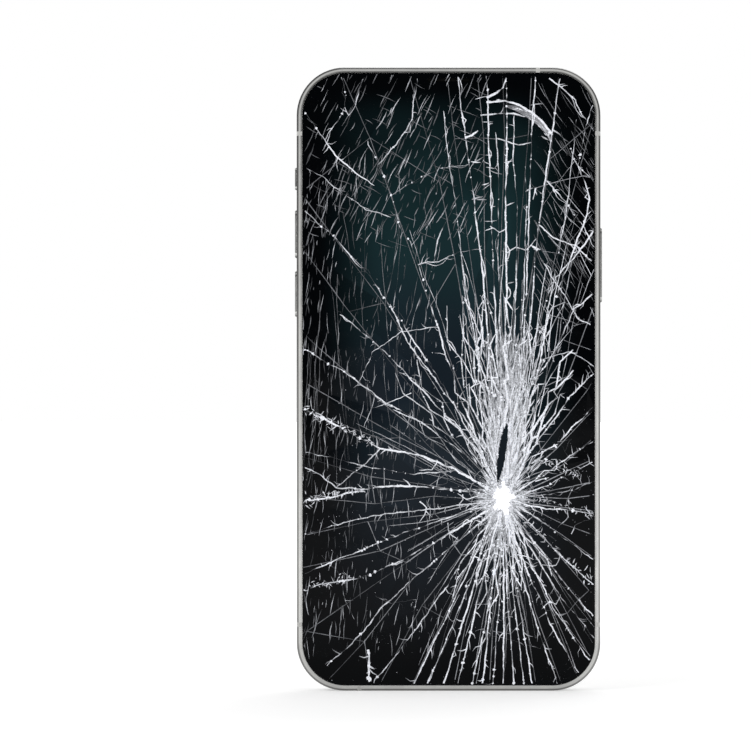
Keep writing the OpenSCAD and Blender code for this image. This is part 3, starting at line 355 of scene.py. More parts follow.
LOOKS = {
    "band": ("frame_band", "volume_up_button", "volume_down_button", "side_button", "mute_switch",
             "sim_tray"),
    "antenna": ("antenna_breaks",),
    "plate": ("chassis_plate",),
    "back": ("back_glass",),
    "screen": ("front_glass",),
    "panel": ("display_panel",),
    "black": ("display_frame", "earpiece_speaker", "loudspeaker", "volume_switches"),
    "rubber": ("display_gasket",),
    "shield": ("display_back_plate", "sensor_bracket", "camera_bracket", "processor_shield", "modem_shield",
               "sim_reader", "haptic_motor", "volume_bracket", "side_bracket"),
    "flex": ("display_flex", "battery_flex", "lower_flex"),
    "mesh": ("earpiece_mesh", "acoustic_meshes"),
    "barrel": ("front_camera", "face_sensor", "face_projector", "camera_module_1", "camera_module_2",
               "camera_module_3", "scanner_module"),
    "ring": ("lens_ring_1", "lens_ring_2", "lens_ring_3"),
    "lens": ("lens_cover_1", "lens_cover_2", "lens_cover_3"),
    "flash": ("flash_lens",),
    "phosphor": ("flash_module",),
    "scanner": ("scanner_cover",),
    "gold": ("rear_microphone", "microphone", "port_contacts", "side_switch"),
    "battery": ("battery",),
    "adhesive": ("battery_adhesive",),
    "board": ("logic_board",),
    "card": ("sim_card",),
    "shell": ("charging_port",),
    "screw": ("bottom_screws", "internal_screws"),
    "copper": ("charging_coil",),
    "magnet": ("magnet_ring",),
}
for look, nodes in LOOKS.items():
    for node in nodes:
        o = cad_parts[node]
        o.data.materials.clear()
        o.data.materials.append(MATERIALS[look])


# ---- Cracks: flat splinters that lie on the face of the glass ----------------------------------------------
class Splinters:
    """Collects flat ribbons and chips, each point with how much light it catches."""

    LIFT, RISE = 0.004, 0.016  # a ribbon's height above the glass: the dimmest, and what the brightest adds
    LAYER, LAYERS = 0.00002, 700  # step from one ribbon to the next, and how many steps before a new start
    CHIP_LIFT, CHIP_RISE = 0.022, 0.01  # the same two heights for chips
    SPIN = 6.28  # most that a chip is turned, in radians

    def __init__(self, seed):
        self.points, self.catch, self.faces = [], [], []
        self.rng = random.Random(seed)
        self.level = 0

    def inside(self, x, y):
        """True on the glass, clear of its rim."""
        w, h = HALF_W - RIM, HALF_H - RIM
        if abs(x) > w or abs(y) > h:
            return False
        cx, cy = abs(x) - (w - RIM_CORNER), abs(y) - (h - RIM_CORNER)
        return cx < 0 or cy < 0 or math.hypot(cx, cy) < RIM_CORNER

    def gone(self, x, y):
        """True over the sliver of glass that has fallen out."""
        x0, y0, turn, length, width = SLIVER
        c, s = math.cos(math.radians(turn)), math.sin(math.radians(turn))
        along = ((x - x0) * c + (y - y0) * s) / length
        across = (y - y0) * c - (x - x0) * s
        return 0 < along < 1 and abs(across) < width * 0.5 * min(1.0, 3.2 * along, 4.0 * (1 - along)) + 0.05

    def point(self, x, y, z, catch):
        self.points.append(place(x, y, z))
        self.catch.append(catch)
        return len(self.points) - 1

    def ribbon(self, path):
        """path: (x, y, width, catch) along a crack."""
        self.level += 1
        brightest = max(p[3] for p in path)
        z = FACE + self.LIFT + self.RISE * brightest + self.LAYER * (self.level % self.LAYERS)
        last = None
        for i, (x, y, w, c) in enumerate(path):
            a = path[max(i - 1, 0)]
            b = path[min(i + 1, len(path) - 1)]
            dx, dy = b[0] - a[0], b[1] - a[1]
            n = math.hypot(dx, dy) or 1
            ox, oy = -dy / n * w / 2, dx / n * w / 2
            if not (self.inside(x + ox, y + oy) and self.inside(x - ox, y - oy)) or self.gone(x, y):
                last = None
                continue
            pair = (self.point(x + ox, y + oy, z, c), self.point(x - ox, y - oy, z, c))
            if last:
                self.faces.append((last[0], last[1], pair[1], pair[0]))
            last = pair

    def blob(self, x, y, r, catch):
        """A ragged chip of about radius r."""
        if self.gone(x, y):
            return
        n = self.rng.choice((4, 5, 6, 7))
        turn = self.rng.random() * self.SPIN
        z = FACE + self.CHIP_LIFT + self.CHIP_RISE * catch
        ring = []
        for i in range(n):
            a = turn + TURN * i / n
            s = r * self.rng.uniform(0.45, 1.25)
            corner = (x + s * math.cos(a), y + s * math.sin(a))
            if not self.inside(*corner):
                return
            ring.append(self.point(*corner, z, catch))
        self.faces.append(tuple(ring))

    def crack(self, points, width, catch, taper=0.3, spurs=0.0, jitter=0.16, step=0.8, eyes=0.0, knots=0.0,
              faint=0.0):
        """A jagged crack through the given points, uneven in width and brightness.

        spurs (short branches), knots (chips) and eyes (narrow loops) are how many there are per mm. A mood
        below faint nearly fades out.
        """
        rng = self.rng
        path = []
        drift, mood = 0.0, rng.random()
        total = sum(math.dist(a, b) for a, b in zip(points, points[1:])) or 1
        run = 0.0
        for a, b in zip(points, points[1:]):
            length = math.dist(a, b)
            n = max(1, int(length / step))
            nx, ny = -(b[1] - a[1]) / (length or 1), (b[0] - a[0]) / (length or 1)
            for i in range(n):
                t = i / n
                drift = drift * 0.72 + rng.uniform(-jitter, jitter)
                mood = min(1.0, max(0.0, mood + rng.uniform(-0.42, 0.42)))
                s = (run + length * t) / total
                w = width * (1 - (1 - taper) * s) * (0.45 + 0.75 * mood) * rng.uniform(0.8, 1.2)
                c = min(1.0, catch * (0.42 + 0.72 * mood))
                if mood < faint:
                    w, c = w * 0.5, c * 0.3
                x = a[0] + (b[0] - a[0]) * t + nx * drift
                y = a[1] + (b[1] - a[1]) * t + ny * drift
                path.append((x, y, w, c))
            run += length
        path.append((*points[-1], width * taper * 0.6, catch * 0.8))
        self.ribbon(path)
        for i, (p, q) in enumerate(zip(path[1:], path[2:])):
            along = math.atan2(q[1] - p[1], q[0] - p[0])
            if rng.random() < spurs * step:
                a = along + rng.choice((-1, 1)) * rng.uniform(0.4, 1.3)
                reach = rng.uniform(0.5, 2.6)
                bend = a + rng.uniform(-0.7, 0.7)
                mid = (p[0] + reach * 0.5 * math.cos(a), p[1] + reach * 0.5 * math.sin(a))
                end = (mid[0] + reach * 0.5 * math.cos(bend), mid[1] + reach * 0.5 * math.sin(bend))
                self.ribbon([(p[0], p[1], p[2] * 0.8, p[3]), (*mid, p[2] * 0.6, p[3] * 0.8),
                             (*end, p[2] * 0.2, p[3] * 0.5)])
            if rng.random() < knots * step:
                self.blob(p[0], p[1], width * rng.uniform(0.5, 1.25), min(1.0, catch * 1.15))
            if rng.random() < eyes * step:
                n = rng.randint(2, 7)
                part = path[i + 1:i + 2 + n]
                if len(part) > 2:
                    wide = rng.choice((-1, 1)) * rng.uniform(0.3, 0.95)
                    loop = []
                    for k, v in enumerate(part):
                        off = wide * math.sin(math.pi * k / (len(part) - 1)) * rng.uniform(0.8, 1.2)
                        loop.append((v[0] - off * math.sin(along), v[1] + off * math.cos(along), v[2] * 0.7,
                                     min(1.0, v[3] * rng.uniform(0.6, 1.1))))
                    self.ribbon(loop)

    def lattice(self, centre, a0, a1, strands, radii, width, catch, far=0.6, lean=0.46):
        """Strands that fan out and touch their neighbours by turns, so that dark cells stay between.

        They leave centre between the directions a0 and a1 in degrees. far is the share of their width that
        is left at the far end.
        """
        rng = self.rng
        pitch = (a1 - a0) / (strands - 1)
        phase = [rng.uniform(0.92, 1.08) for _ in radii]
        for i in range(strands):
            points = []
            for k, r in enumerate(radii):
                turn = a0 + pitch * (i + lean * (-1) ** (i + k) + rng.uniform(-0.16, 0.16))
                reach = r * phase[k] * rng.uniform(0.97, 1.03)
                points.append((centre[0] + reach * math.cos(math.radians(turn)),
                               centre[1] + reach * math.sin(math.radians(turn))))
            stop = rng.randint(len(points) * 2 // 3, len(points))
            start = rng.choice((0, 0, 0, 1, 2)) if len(points) > 4 else 0
            self.crack(points[start:stop], width * rng.uniform(0.7, 1.3), catch * rng.uniform(0.75, 1.05),
                       taper=far, spurs=0.05, knots=0.16, jitter=0.07, step=0.75, eyes=0.02)

    def stroke(self, x, y, angle, length, width, catch):
        """A short splinter, thin at both ends."""
        rng = self.rng
        n = max(3, int(length / 0.6))
        a = math.radians(angle)
        bow = rng.uniform(-0.06, 0.06) * length
        path = []
        for k in range(n + 1):
            t = k / n
            fat = math.sin(math.pi * min(0.97, 0.06 + t)) ** 0.7
            off = bow * math.sin(math.pi * t) + rng.uniform(-0.04, 0.04)
            wide = max(0.02, width * fat * rng.uniform(0.7, 1.2))
            bright = min(1.0, catch * (0.5 + 0.5 * fat) * rng.uniform(0.8, 1.2))
            path.append((x + length * t * math.cos(a) - off * math.sin(a),
                         y + length * t * math.sin(a) + off * math.cos(a), wide, bright))
        self.ribbon(path)

    def build(self, name, material):
        """Makes the piece, which rides with the handset."""
        mesh = bpy.data.meshes.new(name)
        mesh.from_pydata(self.points, [], self.faces)
        a = mesh.attributes.new("catch", "FLOAT", "POINT")
        a.data.foreach_set("value", self.catch)
        mesh.materials.append(material)
        o = bpy.data.objects.new(name, mesh)
        bpy.context.collection.objects.link(o)
        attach(o, "handset")


# Each crack: width, how much light it catches, and the points it runs through
# Cracks of the column above the impact, from the impact upwards
COLUMN = [
    (0.34, 0.95, [(12, -25), (11, -12), (9.6, 4), (8.3, 20.9), (7.8, 27.7), (5, 49), (4.1, 56.6), (2.9, 64),
                  (2.2, 71)]),
    (0.30, 0.90, [(12.3, -24), (11.6, 2), (10.6, 23), (9.9, 42), (9.2, 65.5), (8.8, 71.2)]),
    (0.36, 1.00, [(12.9, -23), (13.2, 0), (13.6, 19.5), (13.4, 45), (13.6, 60), (13.5, 70.8)]),
    (0.26, 0.80, [(13.4, -22), (14.9, 0), (15.8, 19.5), (16.1, 42), (15.2, 52), (15.4, 62)]),
    (0.28, 0.85, [(13.7, -22), (16.2, 0), (17.6, 18.6), (18.4, 42), (18.0, 50)]),
    (0.30, 0.90, [(14, -22), (17.2, 2), (18.4, 24), (19.2, 50), (19.8, 62.5), (20.4, 71)]),
    (0.32, 0.95, [(14.4, -21), (17.8, 0), (19.8, 20), (21.1, 36), (22.6, 46.8), (24.3, 58.5), (26.2, 70.6)]),
    (0.24, 0.75, [(11.6, -23), (9.2, -8), (6.4, 8), (3.4, 25), (1.6, 41), (-0.4, 54), (-1.2, 63)]),
    (0.22, 0.70, [(14.8, -21), (18.9, -4), (22.6, 12), (24.8, 24), (27.4, 38), (29.2, 52), (30.0, 61)]),
    (0.22, 0.70, [(12.6, -24), (12.2, 8), (11.6, 30), (11.8, 48), (11.0, 58)]),
]
# Thick bent cracks and hooks in the upper half
BENT = [
    (0.42, 1.0, [(8.9, 66.2), (11.3, 67.3), (12.8, 68.5), (13.5, 70.6)]),
    (0.40, 1.0, [(8.9, 65.1), (13.2, 65.3), (16.8, 64.4), (19.8, 62.5), (22.6, 59.9), (24.4, 57.4)]),
    (0.36, 0.95, [(7.5, 62), (11.6, 62.5), (15.3, 62.5), (18, 61.7)]),
    (0.34, 0.95, [(3.8, 56.8), (5.4, 57.3), (6.9, 58.4)]),
    (0.36, 0.95, [(6.2, 51.4), (7.3, 52.7), (9.9, 52.6)]),
    (0.30, 0.90, [(6.6, 48.8), (8.3, 51.5)]),
    (0.34, 0.95, [(19.1, 46.2), (20.4, 44.9), (21.8, 43.6)]),
    (0.28, 0.90, [(20.4, 44.9), (19.8, 42.2)]),
    (0.20, 0.75, [(13.6, 56.0), (16.4, 55.0), (19.4, 55.6)]),
    (0.20, 0.75, [(9.8, 36.0), (11.9, 34.6), (13.5, 35.4)]),
    (0.22, 0.75, [(1.5, 40.9), (-0.6, 36.9), (-2.7, 32.7), (-3.4, 27.8)]),
    (0.20, 0.70, [(13.5, 29.4), (15.8, 31.0), (18.2, 30.2), (20.6, 33.0)]),
]
# Long cracks across the upper left
UPPER_LEFT = [
    (0.26, 0.80, [(10.5, -24), (6.5, -14), (2, -2), (-2.5, 12), (-5.6, 21.6), (-7.2, 26.8), (-9.1, 32.2),
                  (-11.7, 36), (-13.6, 43.2), (-15, 46.8), (-16.6, 50.5), (-19, 56)]),
    (0.24, 0.75, [(9, -20), (3, -9), (-3, 1), (-9, 10), (-14.5, 18.6), (-18, 23.3), (-22, 27.5),
                  (-27.2, 33.6), (-31.2, 37.1), (-34.3, 40.2)]),
    (0.22, 0.75, [(-34.2, 63.2), (-31.9, 60.4), (-29.1, 56.2), (-26.7, 52.6), (-22, 48.6), (-17.5, 45.5)]),
    (0.22, 0.75, [(-25.3, 70.9), (-24.1, 66.7), (-24.4, 63.9), (-26, 60.9), (-29.1, 56.2)]),
    (0.20, 0.70, [(-20.1, 70.5), (-22, 64.4), (-23.4, 62), (-24.4, 63.9)]),
    (0.18, 0.62, [(-16.6, 50.5), (-12.4, 55.2), (-8.8, 61), (-7.4, 70.6)]),
    (0.16, 0.60, [(-34.3, 50.0), (-29.6, 47.5), (-24.2, 43), (-19.5, 39.8), (-13.6, 38.0)]),
    (0.16, 0.60, [(-13.6, 43.2), (-8.0, 46.8), (-2.4, 49.6), (4.6, 50.5)]),
    (0.16, 0.60, [(-7.2, 26.8), (-2.4, 27.6), (2.6, 30.0), (7.9, 30.4)]),
]
# Long cracks and the network at the upper right
UPPER_RIGHT = [
    (0.26, 0.85, [(23.6, 70.7), (26.9, 67.9), (29.7, 65.6), (30.9, 62.7), (33.8, 58.8)]),
    (0.28, 0.85, [(14.6, -22), (17, -14), (20, -2), (23.3, 13.9), (27.6, 25.6), (29.7, 31.5), (31.6, 36.2),
                  (33.4, 42.1), (30.4, 50.3), (32, 58.5), (33.9, 64.4)]),
    (0.22, 0.75, [(21.1, 36.2), (24.6, 33.0), (29.7, 31.5), (34.3, 27.2)]),
    (0.22, 0.75, [(34.3, 35.6), (30.0, 29.0), (25.2, 24.0), (21.6, 15.2), (19.8, 8)]),
    (0.20, 0.70, [(22.6, 46.8), (26.0, 43.2), (31.6, 36.2), (34.2, 31)]),
    (0.20, 0.70, [(24.3, 58.5), (28.2, 55.8), (30.4, 50.3), (33.2, 47.4)]),
    (0.20, 0.70, [(34.3, 20.6), (29.6, 16.6), (26.4, 9.2), (21.2, 1.0), (16.6, -12)]),
    (0.18, 0.65, [(34.3, 12.6), (30.6, 14.0), (26.6, 20.4), (22.4, 27.2)]),
]
# Radial cracks that leave the impact to the left, and what branches off them
LEFT = [
    (0.34, 1.0, [(11.8, -27.4), (9.5, -26), (2, -21.4), (-6, -18.1), (-16.1, -16.2), (-23, -12.9),
                 (-29, -9.6), (-34.5, -7)]),
    (0.26, 0.85, [(11, -25.6), (7.4, -20.2), (0.5, -15.3), (-6.5, -10.1), (-14.7, -5.6), (-22.8, 0.6),
                  (-34.4, 7.2)]),
    (0.22, 0.75, [(11.4, -25), (8.8, -19.5), (2, -11.5), (-6.5, -2.3), (-16.6, 7.8), (-25.6, 15.2)]),
    (0.22, 0.75, [(11.6, -24.6), (9.2, -17.6), (4.0, -9.6), (-0.9, -3.3), (-5.8, 3.6), (-10, 9.2),
                  (-13.8, 17.6)]),
    (0.32, 0.95, [(11.6, -28), (8.5, -26.8), (-4.4, -25.4), (-12, -25.2), (-19.7, -25.9), (-27, -27.6),
                  (-34.4, -28.4)]),
    (0.20, 0.70, [(-19.7, -25.9), (-26.5, -25.6), (-30.4, -22.4), (-34.4, -20.4)]),
    (0.18, 0.65, [(2, -21.4), (-8.8, -22.4), (-18.6, -20.6), (-27.6, -18.4), (-34.4, -17.2)]),
    (0.18, 0.65, [(-16.1, -16.2), (-20.4, -20.8), (-26.5, -25.6)]),
    (0.24, 0.80, [(10, -30), (-3.7, -33.6), (-12.6, -36.8), (-20.6, -40), (-28.2, -43.4), (-34.5, -46.1)]),
    (0.28, 0.85, [(10.4, -30.2), (3.8, -34.1), (-3.6, -38.5), (-10.5, -42.3), (-18.5, -46.1),
                  (-27, -47.9), (-34.4, -48.9)]),
    (0.26, 0.85, [(10.8, -30.6), (1, -39.2), (-8.4, -47.0), (-16.1, -54.3), (-20.2, -59.2),
                  (-23.4, -62.7), (-28.6, -67.4)]),
    (0.24, 0.80, [(11.2, -31), (5.2, -39.6), (0, -48), (-4.8, -55), (-9.6, -61.3), (-13.6, -66.6),
                  (-17.6, -71.4)]),
    (0.42, 1.0, [(-19, -63.6), (-18.6, -67.4), (-18.8, -71.9)]),
    (0.18, 0.65, [(8.6, -29.2), (-6.4, -30.6), (-18.4, -32.4), (-34.4, -36.4)]),
]
# Radial cracks that leave the impact to the right
RIGHT = [
    (0.26, 0.85, [(14.4, -26.4), (20, -16), (24.6, -9.4), (28.6, -4), (34.5, 1.9)]),
    (0.26, 0.85, [(14.6, -26.8), (22, -20), (29, -11.5), (34.5, -6.1)]),
    (0.24, 0.80, [(14.8, -27.2), (21.6, -23), (28, -18.5), (34.5, -14.3)]),
    (0.20, 0.75, [(15, -27.6), (22, -25.6), (28.6, -22.4), (34.5, -19.3)]),
    (0.24, 0.80, [(15.2, -28), (24, -27), (29.6, -25.8), (34.5, -24)]),
    (0.26, 0.85, [(15, -28.6), (23, -30.5), (28.4, -30.8), (34.5, -31.5)]),
    (0.22, 0.75, [(14.8, -29.2), (22.0, -33.6), (28.2, -38), (34.5, -42.8)]),
    (0.22, 0.75, [(14.4, -29.8), (21.2, -36), (27.6, -42.8), (34.4, -48.9)]),
    (0.24, 0.80, [(14.2, -30.2), (20.2, -38.4), (27.4, -48), (34.4, -56.2)]),
    (0.20, 0.70, [(14, -30.6), (19.6, -40.2), (26.4, -51.4), (34.2, -60.9)]),
    (0.24, 0.80, [(13.8, -31), (18.6, -42), (25.2, -55), (33.4, -66.7)]),
    (0.26, 0.85, [(13.6, -31.2), (18.0, -44), (24.0, -57.6), (30.9, -69.6)]),
    (0.24, 0.80, [(13.4, -31.4), (16.8, -44.6), (21.0, -58.4), (25.5, -71.6)]),
]
# Where the cracks below the impact reach the bottom edge
BOTTOM_Y = -72.3
BOTTOM_ENDS = (-8.6, -5.2, -1.4, 2.0, 5.4, 8.0, 10.4, 12.9, 15.4, 17.8, 19.8)

major = Splinters(3)
for width, catch, points in COLUMN:
    major.crack(points, width * 0.98, catch, taper=0.85, spurs=0.06, eyes=0.05, knots=0.16, jitter=0.09,
                faint=0.15)
for width, catch, points in BENT:
    major.crack(points, width * 1.15, catch, taper=0.9, spurs=0.05, jitter=0.08, step=0.6, faint=0.2)
for width, catch, points in UPPER_LEFT + UPPER_RIGHT:
    major.crack(points, width * 1.3, catch * 1.15, taper=0.7, spurs=0.22, eyes=0.05, knots=0.18, jitter=0.17,
                faint=0.14)
for width, catch, points in LEFT + RIGHT:
    major.crack(points, width * 1.34, catch, taper=0.7, spurs=0.22, eyes=0.015, knots=0.2, jitter=0.15,
                step=0.7, faint=0.1)
major.ribbon([(13.4 + 10.6 * t, 64.2 - 1.2 * t - 5.4 * t ** 2, 0.5 + 1.1 * math.sin(3.0 * t), 0.14 + 0.22 * t)
              for t in (0.0, 0.2, 0.4, 0.6, 0.8, 1.0)])  # milky glass between the two arcs
for _ in range(26):  # splinters along it
    t = major.rng.random() ** 0.6
    major.stroke(13.6 + 9.6 * t, 64.0 - 1.2 * t - 5.4 * t ** 2 + major.rng.uniform(-0.5, 0.7), -8 - 50 * t,
                 major.rng.uniform(0.8, 2.4), major.rng.uniform(0.08, 0.3), major.rng.uniform(0.3, 0.9))
for _ in range(24):  # short steps between the uprights
    x, y = major.rng.uniform(4, 22), major.rng.uniform(22, 68)
    major.stroke(x, y, major.rng.uniform(-32, 38), major.rng.uniform(1.4, 3.6), major.rng.uniform(0.14, 0.42),
                 major.rng.uniform(0.5, 1.0))
for end in BOTTOM_ENDS:
    bend = (end - IMPACT[0]) * 0.5 + major.rng.uniform(-0.8, 0.8)
    points = [(IMPACT[0] + (end - IMPACT[0]) * 0.08, -31.2), (IMPACT[0] + bend, -51.5), (end, BOTTOM_Y)]
    major.crack(points, 0.33, 1.0, taper=0.8, spurs=0.14, eyes=0.02, knots=0.2, jitter=0.09)
# Distances from the impact at which the strands of a fan bend
STEPS_UP = (4.5, 7.5, 11, 14.5, 18, 22, 26, 30, 34.5, 39, 44, 49)
STEPS_DOWN = (3.4, 5.4, 7.8, 10.4, 13.4, 16.8, 20.6, 25)
major.lattice(IMPACT, 60, 108, 18, STEPS_UP, 0.40, 1.0)
major.lattice((13.4, -30.0), 77, 101, 11, (8, 12, 16, 20, 24, 28, 32, 36, 41, 46), 0.44, 1.0)
major.lattice(IMPACT, 112, 140, 8, (9, 13, 17.5, 22.5, 28, 34, 40), 0.26, 0.8)
major.lattice(IMPACT, 238, 304, 20, STEPS_DOWN, 0.34, 0.95)
major.lattice(IMPACT, 26, 58, 7, (3.4, 5.6, 8.2, 11.2, 14.6, 18.4), 0.32, 0.9)
major.lattice(IMPACT, -24, 24, 7, (3.4, 5.2, 7.4), 0.28, 0.85)
major.lattice(IMPACT, 145, 235, 12, (3.4, 5.6, 8.2, 11.2), 0.26, 0.85)

# Arcs that link the radial cracks round the impact: radius, how many round the circle, width
LINKS = ((4.6, 12, 0.26), (7.0, 12, 0.24), (10.5, 12, 0.24), (15, 12, 0.24), (19.5, 12, 0.24), (26, 10, 0.20),
         (35, 8, 0.18), (46, 7, 0.16))
rng = major.rng
for radius, count, width in LINKS:
    for i in range(count):
        if rng.random() < 0.4:
            continue
        a = TURN * i / count + rng.uniform(-0.15, 0.15)
        span = rng.uniform(0.3, 0.8) * TURN / count
        points = [from_impact(radius * rng.uniform(0.9, 1.1), a + span * k / 3) for k in range(4)]
        major.crack(points, width, rng.uniform(0.6, 0.95), taper=0.6, spurs=0.12, knots=0.03, faint=0.35)
major.build("crack_splinters", MATERIALS["crack"])

# Fine cracks
fine = Splinters(11)
rng = fine.rng


def hairline(x, y, angle, length, width, catch, jitter=0.05):
    """A long thin crack that wanders a little."""
    a = math.radians(angle)
    n = max(2, int(length / 6))
    points = [(x, y)]
    for _ in range(n):
        a += rng.uniform(-0.10, 0.10)
        points.append((points[-1][0] + length / n * math.cos(a), points[-1][1] + length / n * math.sin(a)))
    fine.crack(points, width, catch, taper=0.5, spurs=0.02, jitter=jitter, step=1.1, knots=0.02)


for _ in range(270):  # crossing parallels of the upper left
    x, y = rng.uniform(-34, 8), rng.uniform(32, 71)
    if rng.random() < 0.76:
        fine.stroke(x, y, rng.uniform(56, 72), rng.uniform(1.2, 7.0), rng.uniform(0.08, 0.24),
                    0.10 + 0.55 * rng.random() ** 2)
    else:
        fine.stroke(x, y, rng.uniform(-34, -18), rng.uniform(1.5, 6), rng.uniform(0.08, 0.18),
                    rng.uniform(0.08, 0.3))
for _ in range(6):  # longer ones among them
    hairline(rng.uniform(-33, -6), rng.uniform(38, 60), rng.uniform(56, 68), rng.uniform(5, 11), 0.15,
             rng.uniform(0.25, 0.5))
for _ in range(560):  # rain of short upright splinters down the left side
    x = -34.5 + 32 * rng.random() ** 1.3
    y = rng.uniform(-66, 50)
    fine.stroke(x, y, rng.uniform(72, 98), rng.uniform(0.6, 5.5), rng.uniform(0.07, 0.19),
                0.07 + 0.55 * rng.random() ** 2)
for _ in range(30):  # long faint ones among them
    hairline(rng.uniform(-34, -8), rng.uniform(-10, 44), rng.uniform(-98, -84), rng.uniform(10, 30), 0.09,
             rng.uniform(0.12, 0.32), 0.03)
for _ in range(130):  # fine slanting strokes at the upper right
    x, y = rng.uniform(20, 34), rng.uniform(20, 70)
    fine.stroke(x, y, rng.uniform(-68, -50), rng.uniform(2, 8), rng.uniform(0.07, 0.16),
                rng.uniform(0.08, 0.34))
for _ in range(24):  # network at the right edge
    x, y = rng.uniform(20, 34), rng.uniform(2, 46)
    turn = rng.choice((50, 62, 118, 130, -55, -20, 20)) + rng.uniform(-10, 10)
    hairline(x, y, turn, rng.uniform(5, 14), 0.13, rng.uniform(0.45, 0.85))


def fan(count, turns, starts, wobble, lengths, width, catches, lean=None):
    """Hairlines that start round the impact and lead away from it, or lean towards upright."""
    for _ in range(count):
        a = rng.uniform(*turns)
        start = from_impact(rng.uniform(*starts), math.radians(a))
        heading = 90 + lean * (a - 90) if lean else a
        hairline(*start, heading + rng.uniform(-wobble, wobble), rng.uniform(*lengths), width,
                 rng.uniform(*catches))


fan(40, (62, 112), (4, 40), 5, (8, 34), 0.18, (0.5, 1.0), lean=0.45)  # above the impact
fan(34, (60, 320), (2.5, 14), 12, (4, 26), 0.14, (0.35, 0.85))  # round the left of it
fan(20, (238, 305), (8, 26), 5, (10, 34), 0.12, (0.35, 0.75))  # steep ones below it

# Edges of the shards themselves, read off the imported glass. Corners are counted in hundredths of a mm.
GRID = 100
PER_METRE = GRID / MM
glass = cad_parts["front_glass"].data
front = min(v.co.y for v in glass.vertices)
uses = {}
for poly in glass.polygons:
    spots = [glass.vertices[i].co for i in poly.vertices]
    if all(v.y < front + 1e-6 for v in spots):  # on the front face
        keys = [(round(v.x * PER_METRE), round(v.z * PER_METRE)) for v in spots]
        for a, b in zip(keys, keys[1:] + keys[:1]):
            edge = (min(a, b), max(a, b))
            uses[edge] = uses.get(edge, 0) + 1
for (a, b), n in uses.items():
    if n != 1:  # inside a shard
        continue
    p = (a[0] / GRID, a[1] / GRID - HALF_H)
    q = (b[0] / GRID, b[1] / GRID - HALF_H)
    mid = ((p[0] + q[0]) / 2, (p[1] + q[1]) / 2)
    at_earpiece = abs(mid[0]) < 6 and mid[1] > 68
    # The rim is left out by testing a point a little further out
    if at_earpiece or not fine.inside(mid[0] * 1.004, mid[1] * 1.003):
        continue
    away = math.dist(mid, IMPACT)
    fine.crack([p, q], 0.10, 0.12 + 0.42 * math.exp(-away / 22) + rng.uniform(-0.08, 0.12), taper=0.9,
               jitter=0.02, step=1.2)
fine.build("crack_hairlines", MATERIALS["crack"])

# Crushed glass: loose facets and powder round the impact, up the column and below
crush = Splinters(23)
rng = crush.rng


def outwards(x, y):
    """Direction from the impact in degrees."""
    return math.degrees(math.atan2(y - IMPACT[1], x - IMPACT[0]))


for _ in range(1900):  # ragged white heart
    a = rng.uniform(0, TURN)
    lobe = 1.0 + 0.28 * math.sin(a * 5 + 1) + 0.22 * math.sin(a * 9) + 0.14 * math.sin(a * 17)
    r = abs(rng.gauss(0, 2.4)) * lobe
    solid = 1.9 * lobe
    bright = 1.3 if r < solid else rng.uniform(0.4, 1.25) * math.exp(-(r - solid) / 4)
    crush.blob(IMPACT[0] + 0.9 * r * math.cos(a), IMPACT[1] - 0.1 + 1.45 * r * math.sin(a),
               rng.uniform(0.06, 0.34), bright)
for _ in range(420):  # needles that leave the heart
    a = rng.uniform(0, 360)
    r = rng.uniform(1.4, 5.0)
    crush.stroke(*from_impact(r, math.radians(a)), a + rng.uniform(-9, 9), rng.uniform(0.8, 3.0),
                 rng.uniform(0.08, 0.26), rng.uniform(0.5, 1.0))
for _ in range(1250):  # needles of the column above it
    y = rng.uniform(-25, 9)
    x = 13.4 + 0.02 * (y + 26) + rng.gauss(0, 1.9 + 0.04 * (y + 26))
    lean = outwards(x, y)
    fade = 1 - 0.55 * max(0.0, (y + 12) / 21)
    crush.stroke(x, y, lean + rng.uniform(-16, 16), rng.uniform(0.7, 3.2), rng.uniform(0.10, 0.42),
                 rng.uniform(0.45, 1.0) * fade)
for _ in range(300):  # shorter tail below the heart
    y = IMPACT[1] - abs(rng.gauss(0, 6.5))
    x = 12.6 + rng.gauss(0, 1.7)
    lean = outwards(x, y)
    crush.stroke(x, y, lean + rng.uniform(-14, 14), rng.uniform(0.6, 2.6), rng.uniform(0.08, 0.32),
                 rng.uniform(0.4, 0.95) * math.exp((y - IMPACT[1]) / 16))
# Lace of chips along the widest cracks: start, end and how many
LACE = ((-34, -7, -18, -15, 70), (-34, -28.5, -19, -26, 60), (-34, -48.9, -18, -46, 40),
        (22, -20, 31, -22, 40), (20, -28, 34, -31.5, 40), (18, -33, 34, -48, 40))
for x0, y0, x1, y1, amount in LACE:
    for _ in range(amount):
        t = rng.random()
        x = x0 + (x1 - x0) * t + rng.gauss(0, 0.5)
        y = y0 + (y1 - y0) * t + rng.gauss(0, 0.6)
        crush.stroke(x, y, rng.uniform(0, 360), rng.uniform(0.4, 1.6), rng.uniform(0.10, 0.28),
                     rng.uniform(0.4, 1.0))
for _ in range(500):  # powder
    a = rng.uniform(0, TURN)
    r = rng.uniform(2, 60)
    crush.blob(*from_impact(r, a), rng.uniform(0.04, 0.12), rng.uniform(0.2, 0.8))
crush.build("crushed_glass", MATERIALS["crack"])


# ---- Stage -------------------------------------------------------------------------------------------------
def floor_material():
    """White floor that glows more and more away from the phone, so that it melts into the backdrop."""
    g = new_graph("stage_floor")
    ray = g.node("LightPath").outputs
    mirrored = g.math("MAXIMUM", ray["Is Glossy Ray"], ray["Is Transmission Ray"])
    seen = g.math("MAXIMUM", ray["Is Camera Ray"], mirrored)
    away = g.vec("LENGTH", g.vec("MULTIPLY", g.coords(), (1, 1, 0)))
    g.shader(Base_Color=g.mix(g.noise(0.01), (0.80, 0.80, 0.80), (0.82, 0.82, 0.82)), Roughness=0.9,
             Specular_IOR_Level=0.0, Emission_Color=(1, 1, 1),
             Emission_Strength=g.math("MULTIPLY", seen, g.ramp(away, 60, 420, 0.36, 1.0)))
    return g.owner


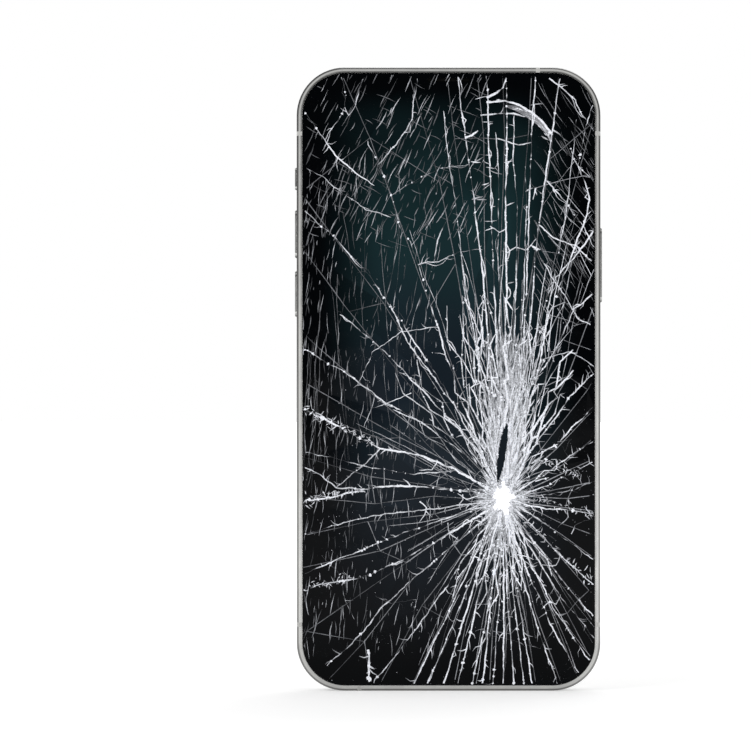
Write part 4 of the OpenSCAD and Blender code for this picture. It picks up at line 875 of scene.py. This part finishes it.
mesh = bpy.data.meshes.new("stage_floor")
side = 6.0
mesh.from_pydata([(-side, -side, 0), (side, -side, 0), (side, side, 0), (-side, side, 0)], [], [(0, 1, 2, 3)])
mesh.materials.append(floor_material())
floor = bpy.data.objects.new("stage_floor", mesh)
bpy.context.collection.objects.link(floor)

world = bpy.data.worlds.new("studio")
bpy.context.scene.world = world
g = Graph(world, "OutputWorld")
ray = g.node("LightPath").outputs
# Mirror rays see the white backdrop behind and at the sides, and a dim room in front
depth = g.split(g.node("TexCoord").outputs["Generated"])[1]
room = g.math("MULTIPLY", g.ramp(depth, -0.95, -0.40, 0.04, 1.0), g.ramp(depth, -0.05, 0.55, 1.0, 0.25))
strength = g.blend(ray["Is Glossy Ray"], 0.62, room)
strength = g.blend(ray["Is Transmission Ray"], strength, 1.0)
strength = g.blend(ray["Is Camera Ray"], strength, 1.0)
ground = g.node("Background")
g.put(ground.inputs["Color"], (1, 1, 1))
g.put(ground.inputs["Strength"], strength)
g.put(g.out.inputs["Surface"], ground.outputs[0])


def softbox(name, at, aim, size, power, mirrored=True):
    """A square light that faces aim. mirrored says whether shiny surfaces show it."""
    data = bpy.data.lights.new(name, "AREA")
    data.shape = "SQUARE"
    data.size = size
    data.energy = power
    o = bpy.data.objects.new(name, data)
    bpy.context.collection.objects.link(o)
    o.location = at
    o.rotation_mode = "QUATERNION"
    o.rotation_quaternion = (Vector(aim) - Vector(at)).to_track_quat("-Z", "Y")
    o.visible_glossy = mirrored


middle = (0, 0, HALF_H * MM)
softbox("key_light", (-0.9, -0.8, 0.9), middle, 0.7, 4.4, mirrored=False)
softbox("fill_light", (1.1, -0.5, 0.5), middle, 0.8, 2.6, mirrored=False)
softbox("back_light", (0.3, 1.0, 0.9), middle, 0.8, 3.6)

# ---- Camera: level with the middle of the phone, which stands a little right of the centre -----------------
data = bpy.data.cameras.new("camera")
data.type = "PERSP"
data.sensor_width = 36
data.lens = 200
camera = bpy.data.objects.new("camera", data)
bpy.context.collection.objects.link(camera)
camera.location = (-17.2 * MM, -0.9918, 73.6 * MM)  # a metre away, with a long lens
camera.rotation_euler = (math.pi / 2, 0, 0)
data.clip_start, data.clip_end = 0.01, 20
bpy.context.scene.camera = camera
bpy.context.scene.view_settings.view_transform = "Standard"
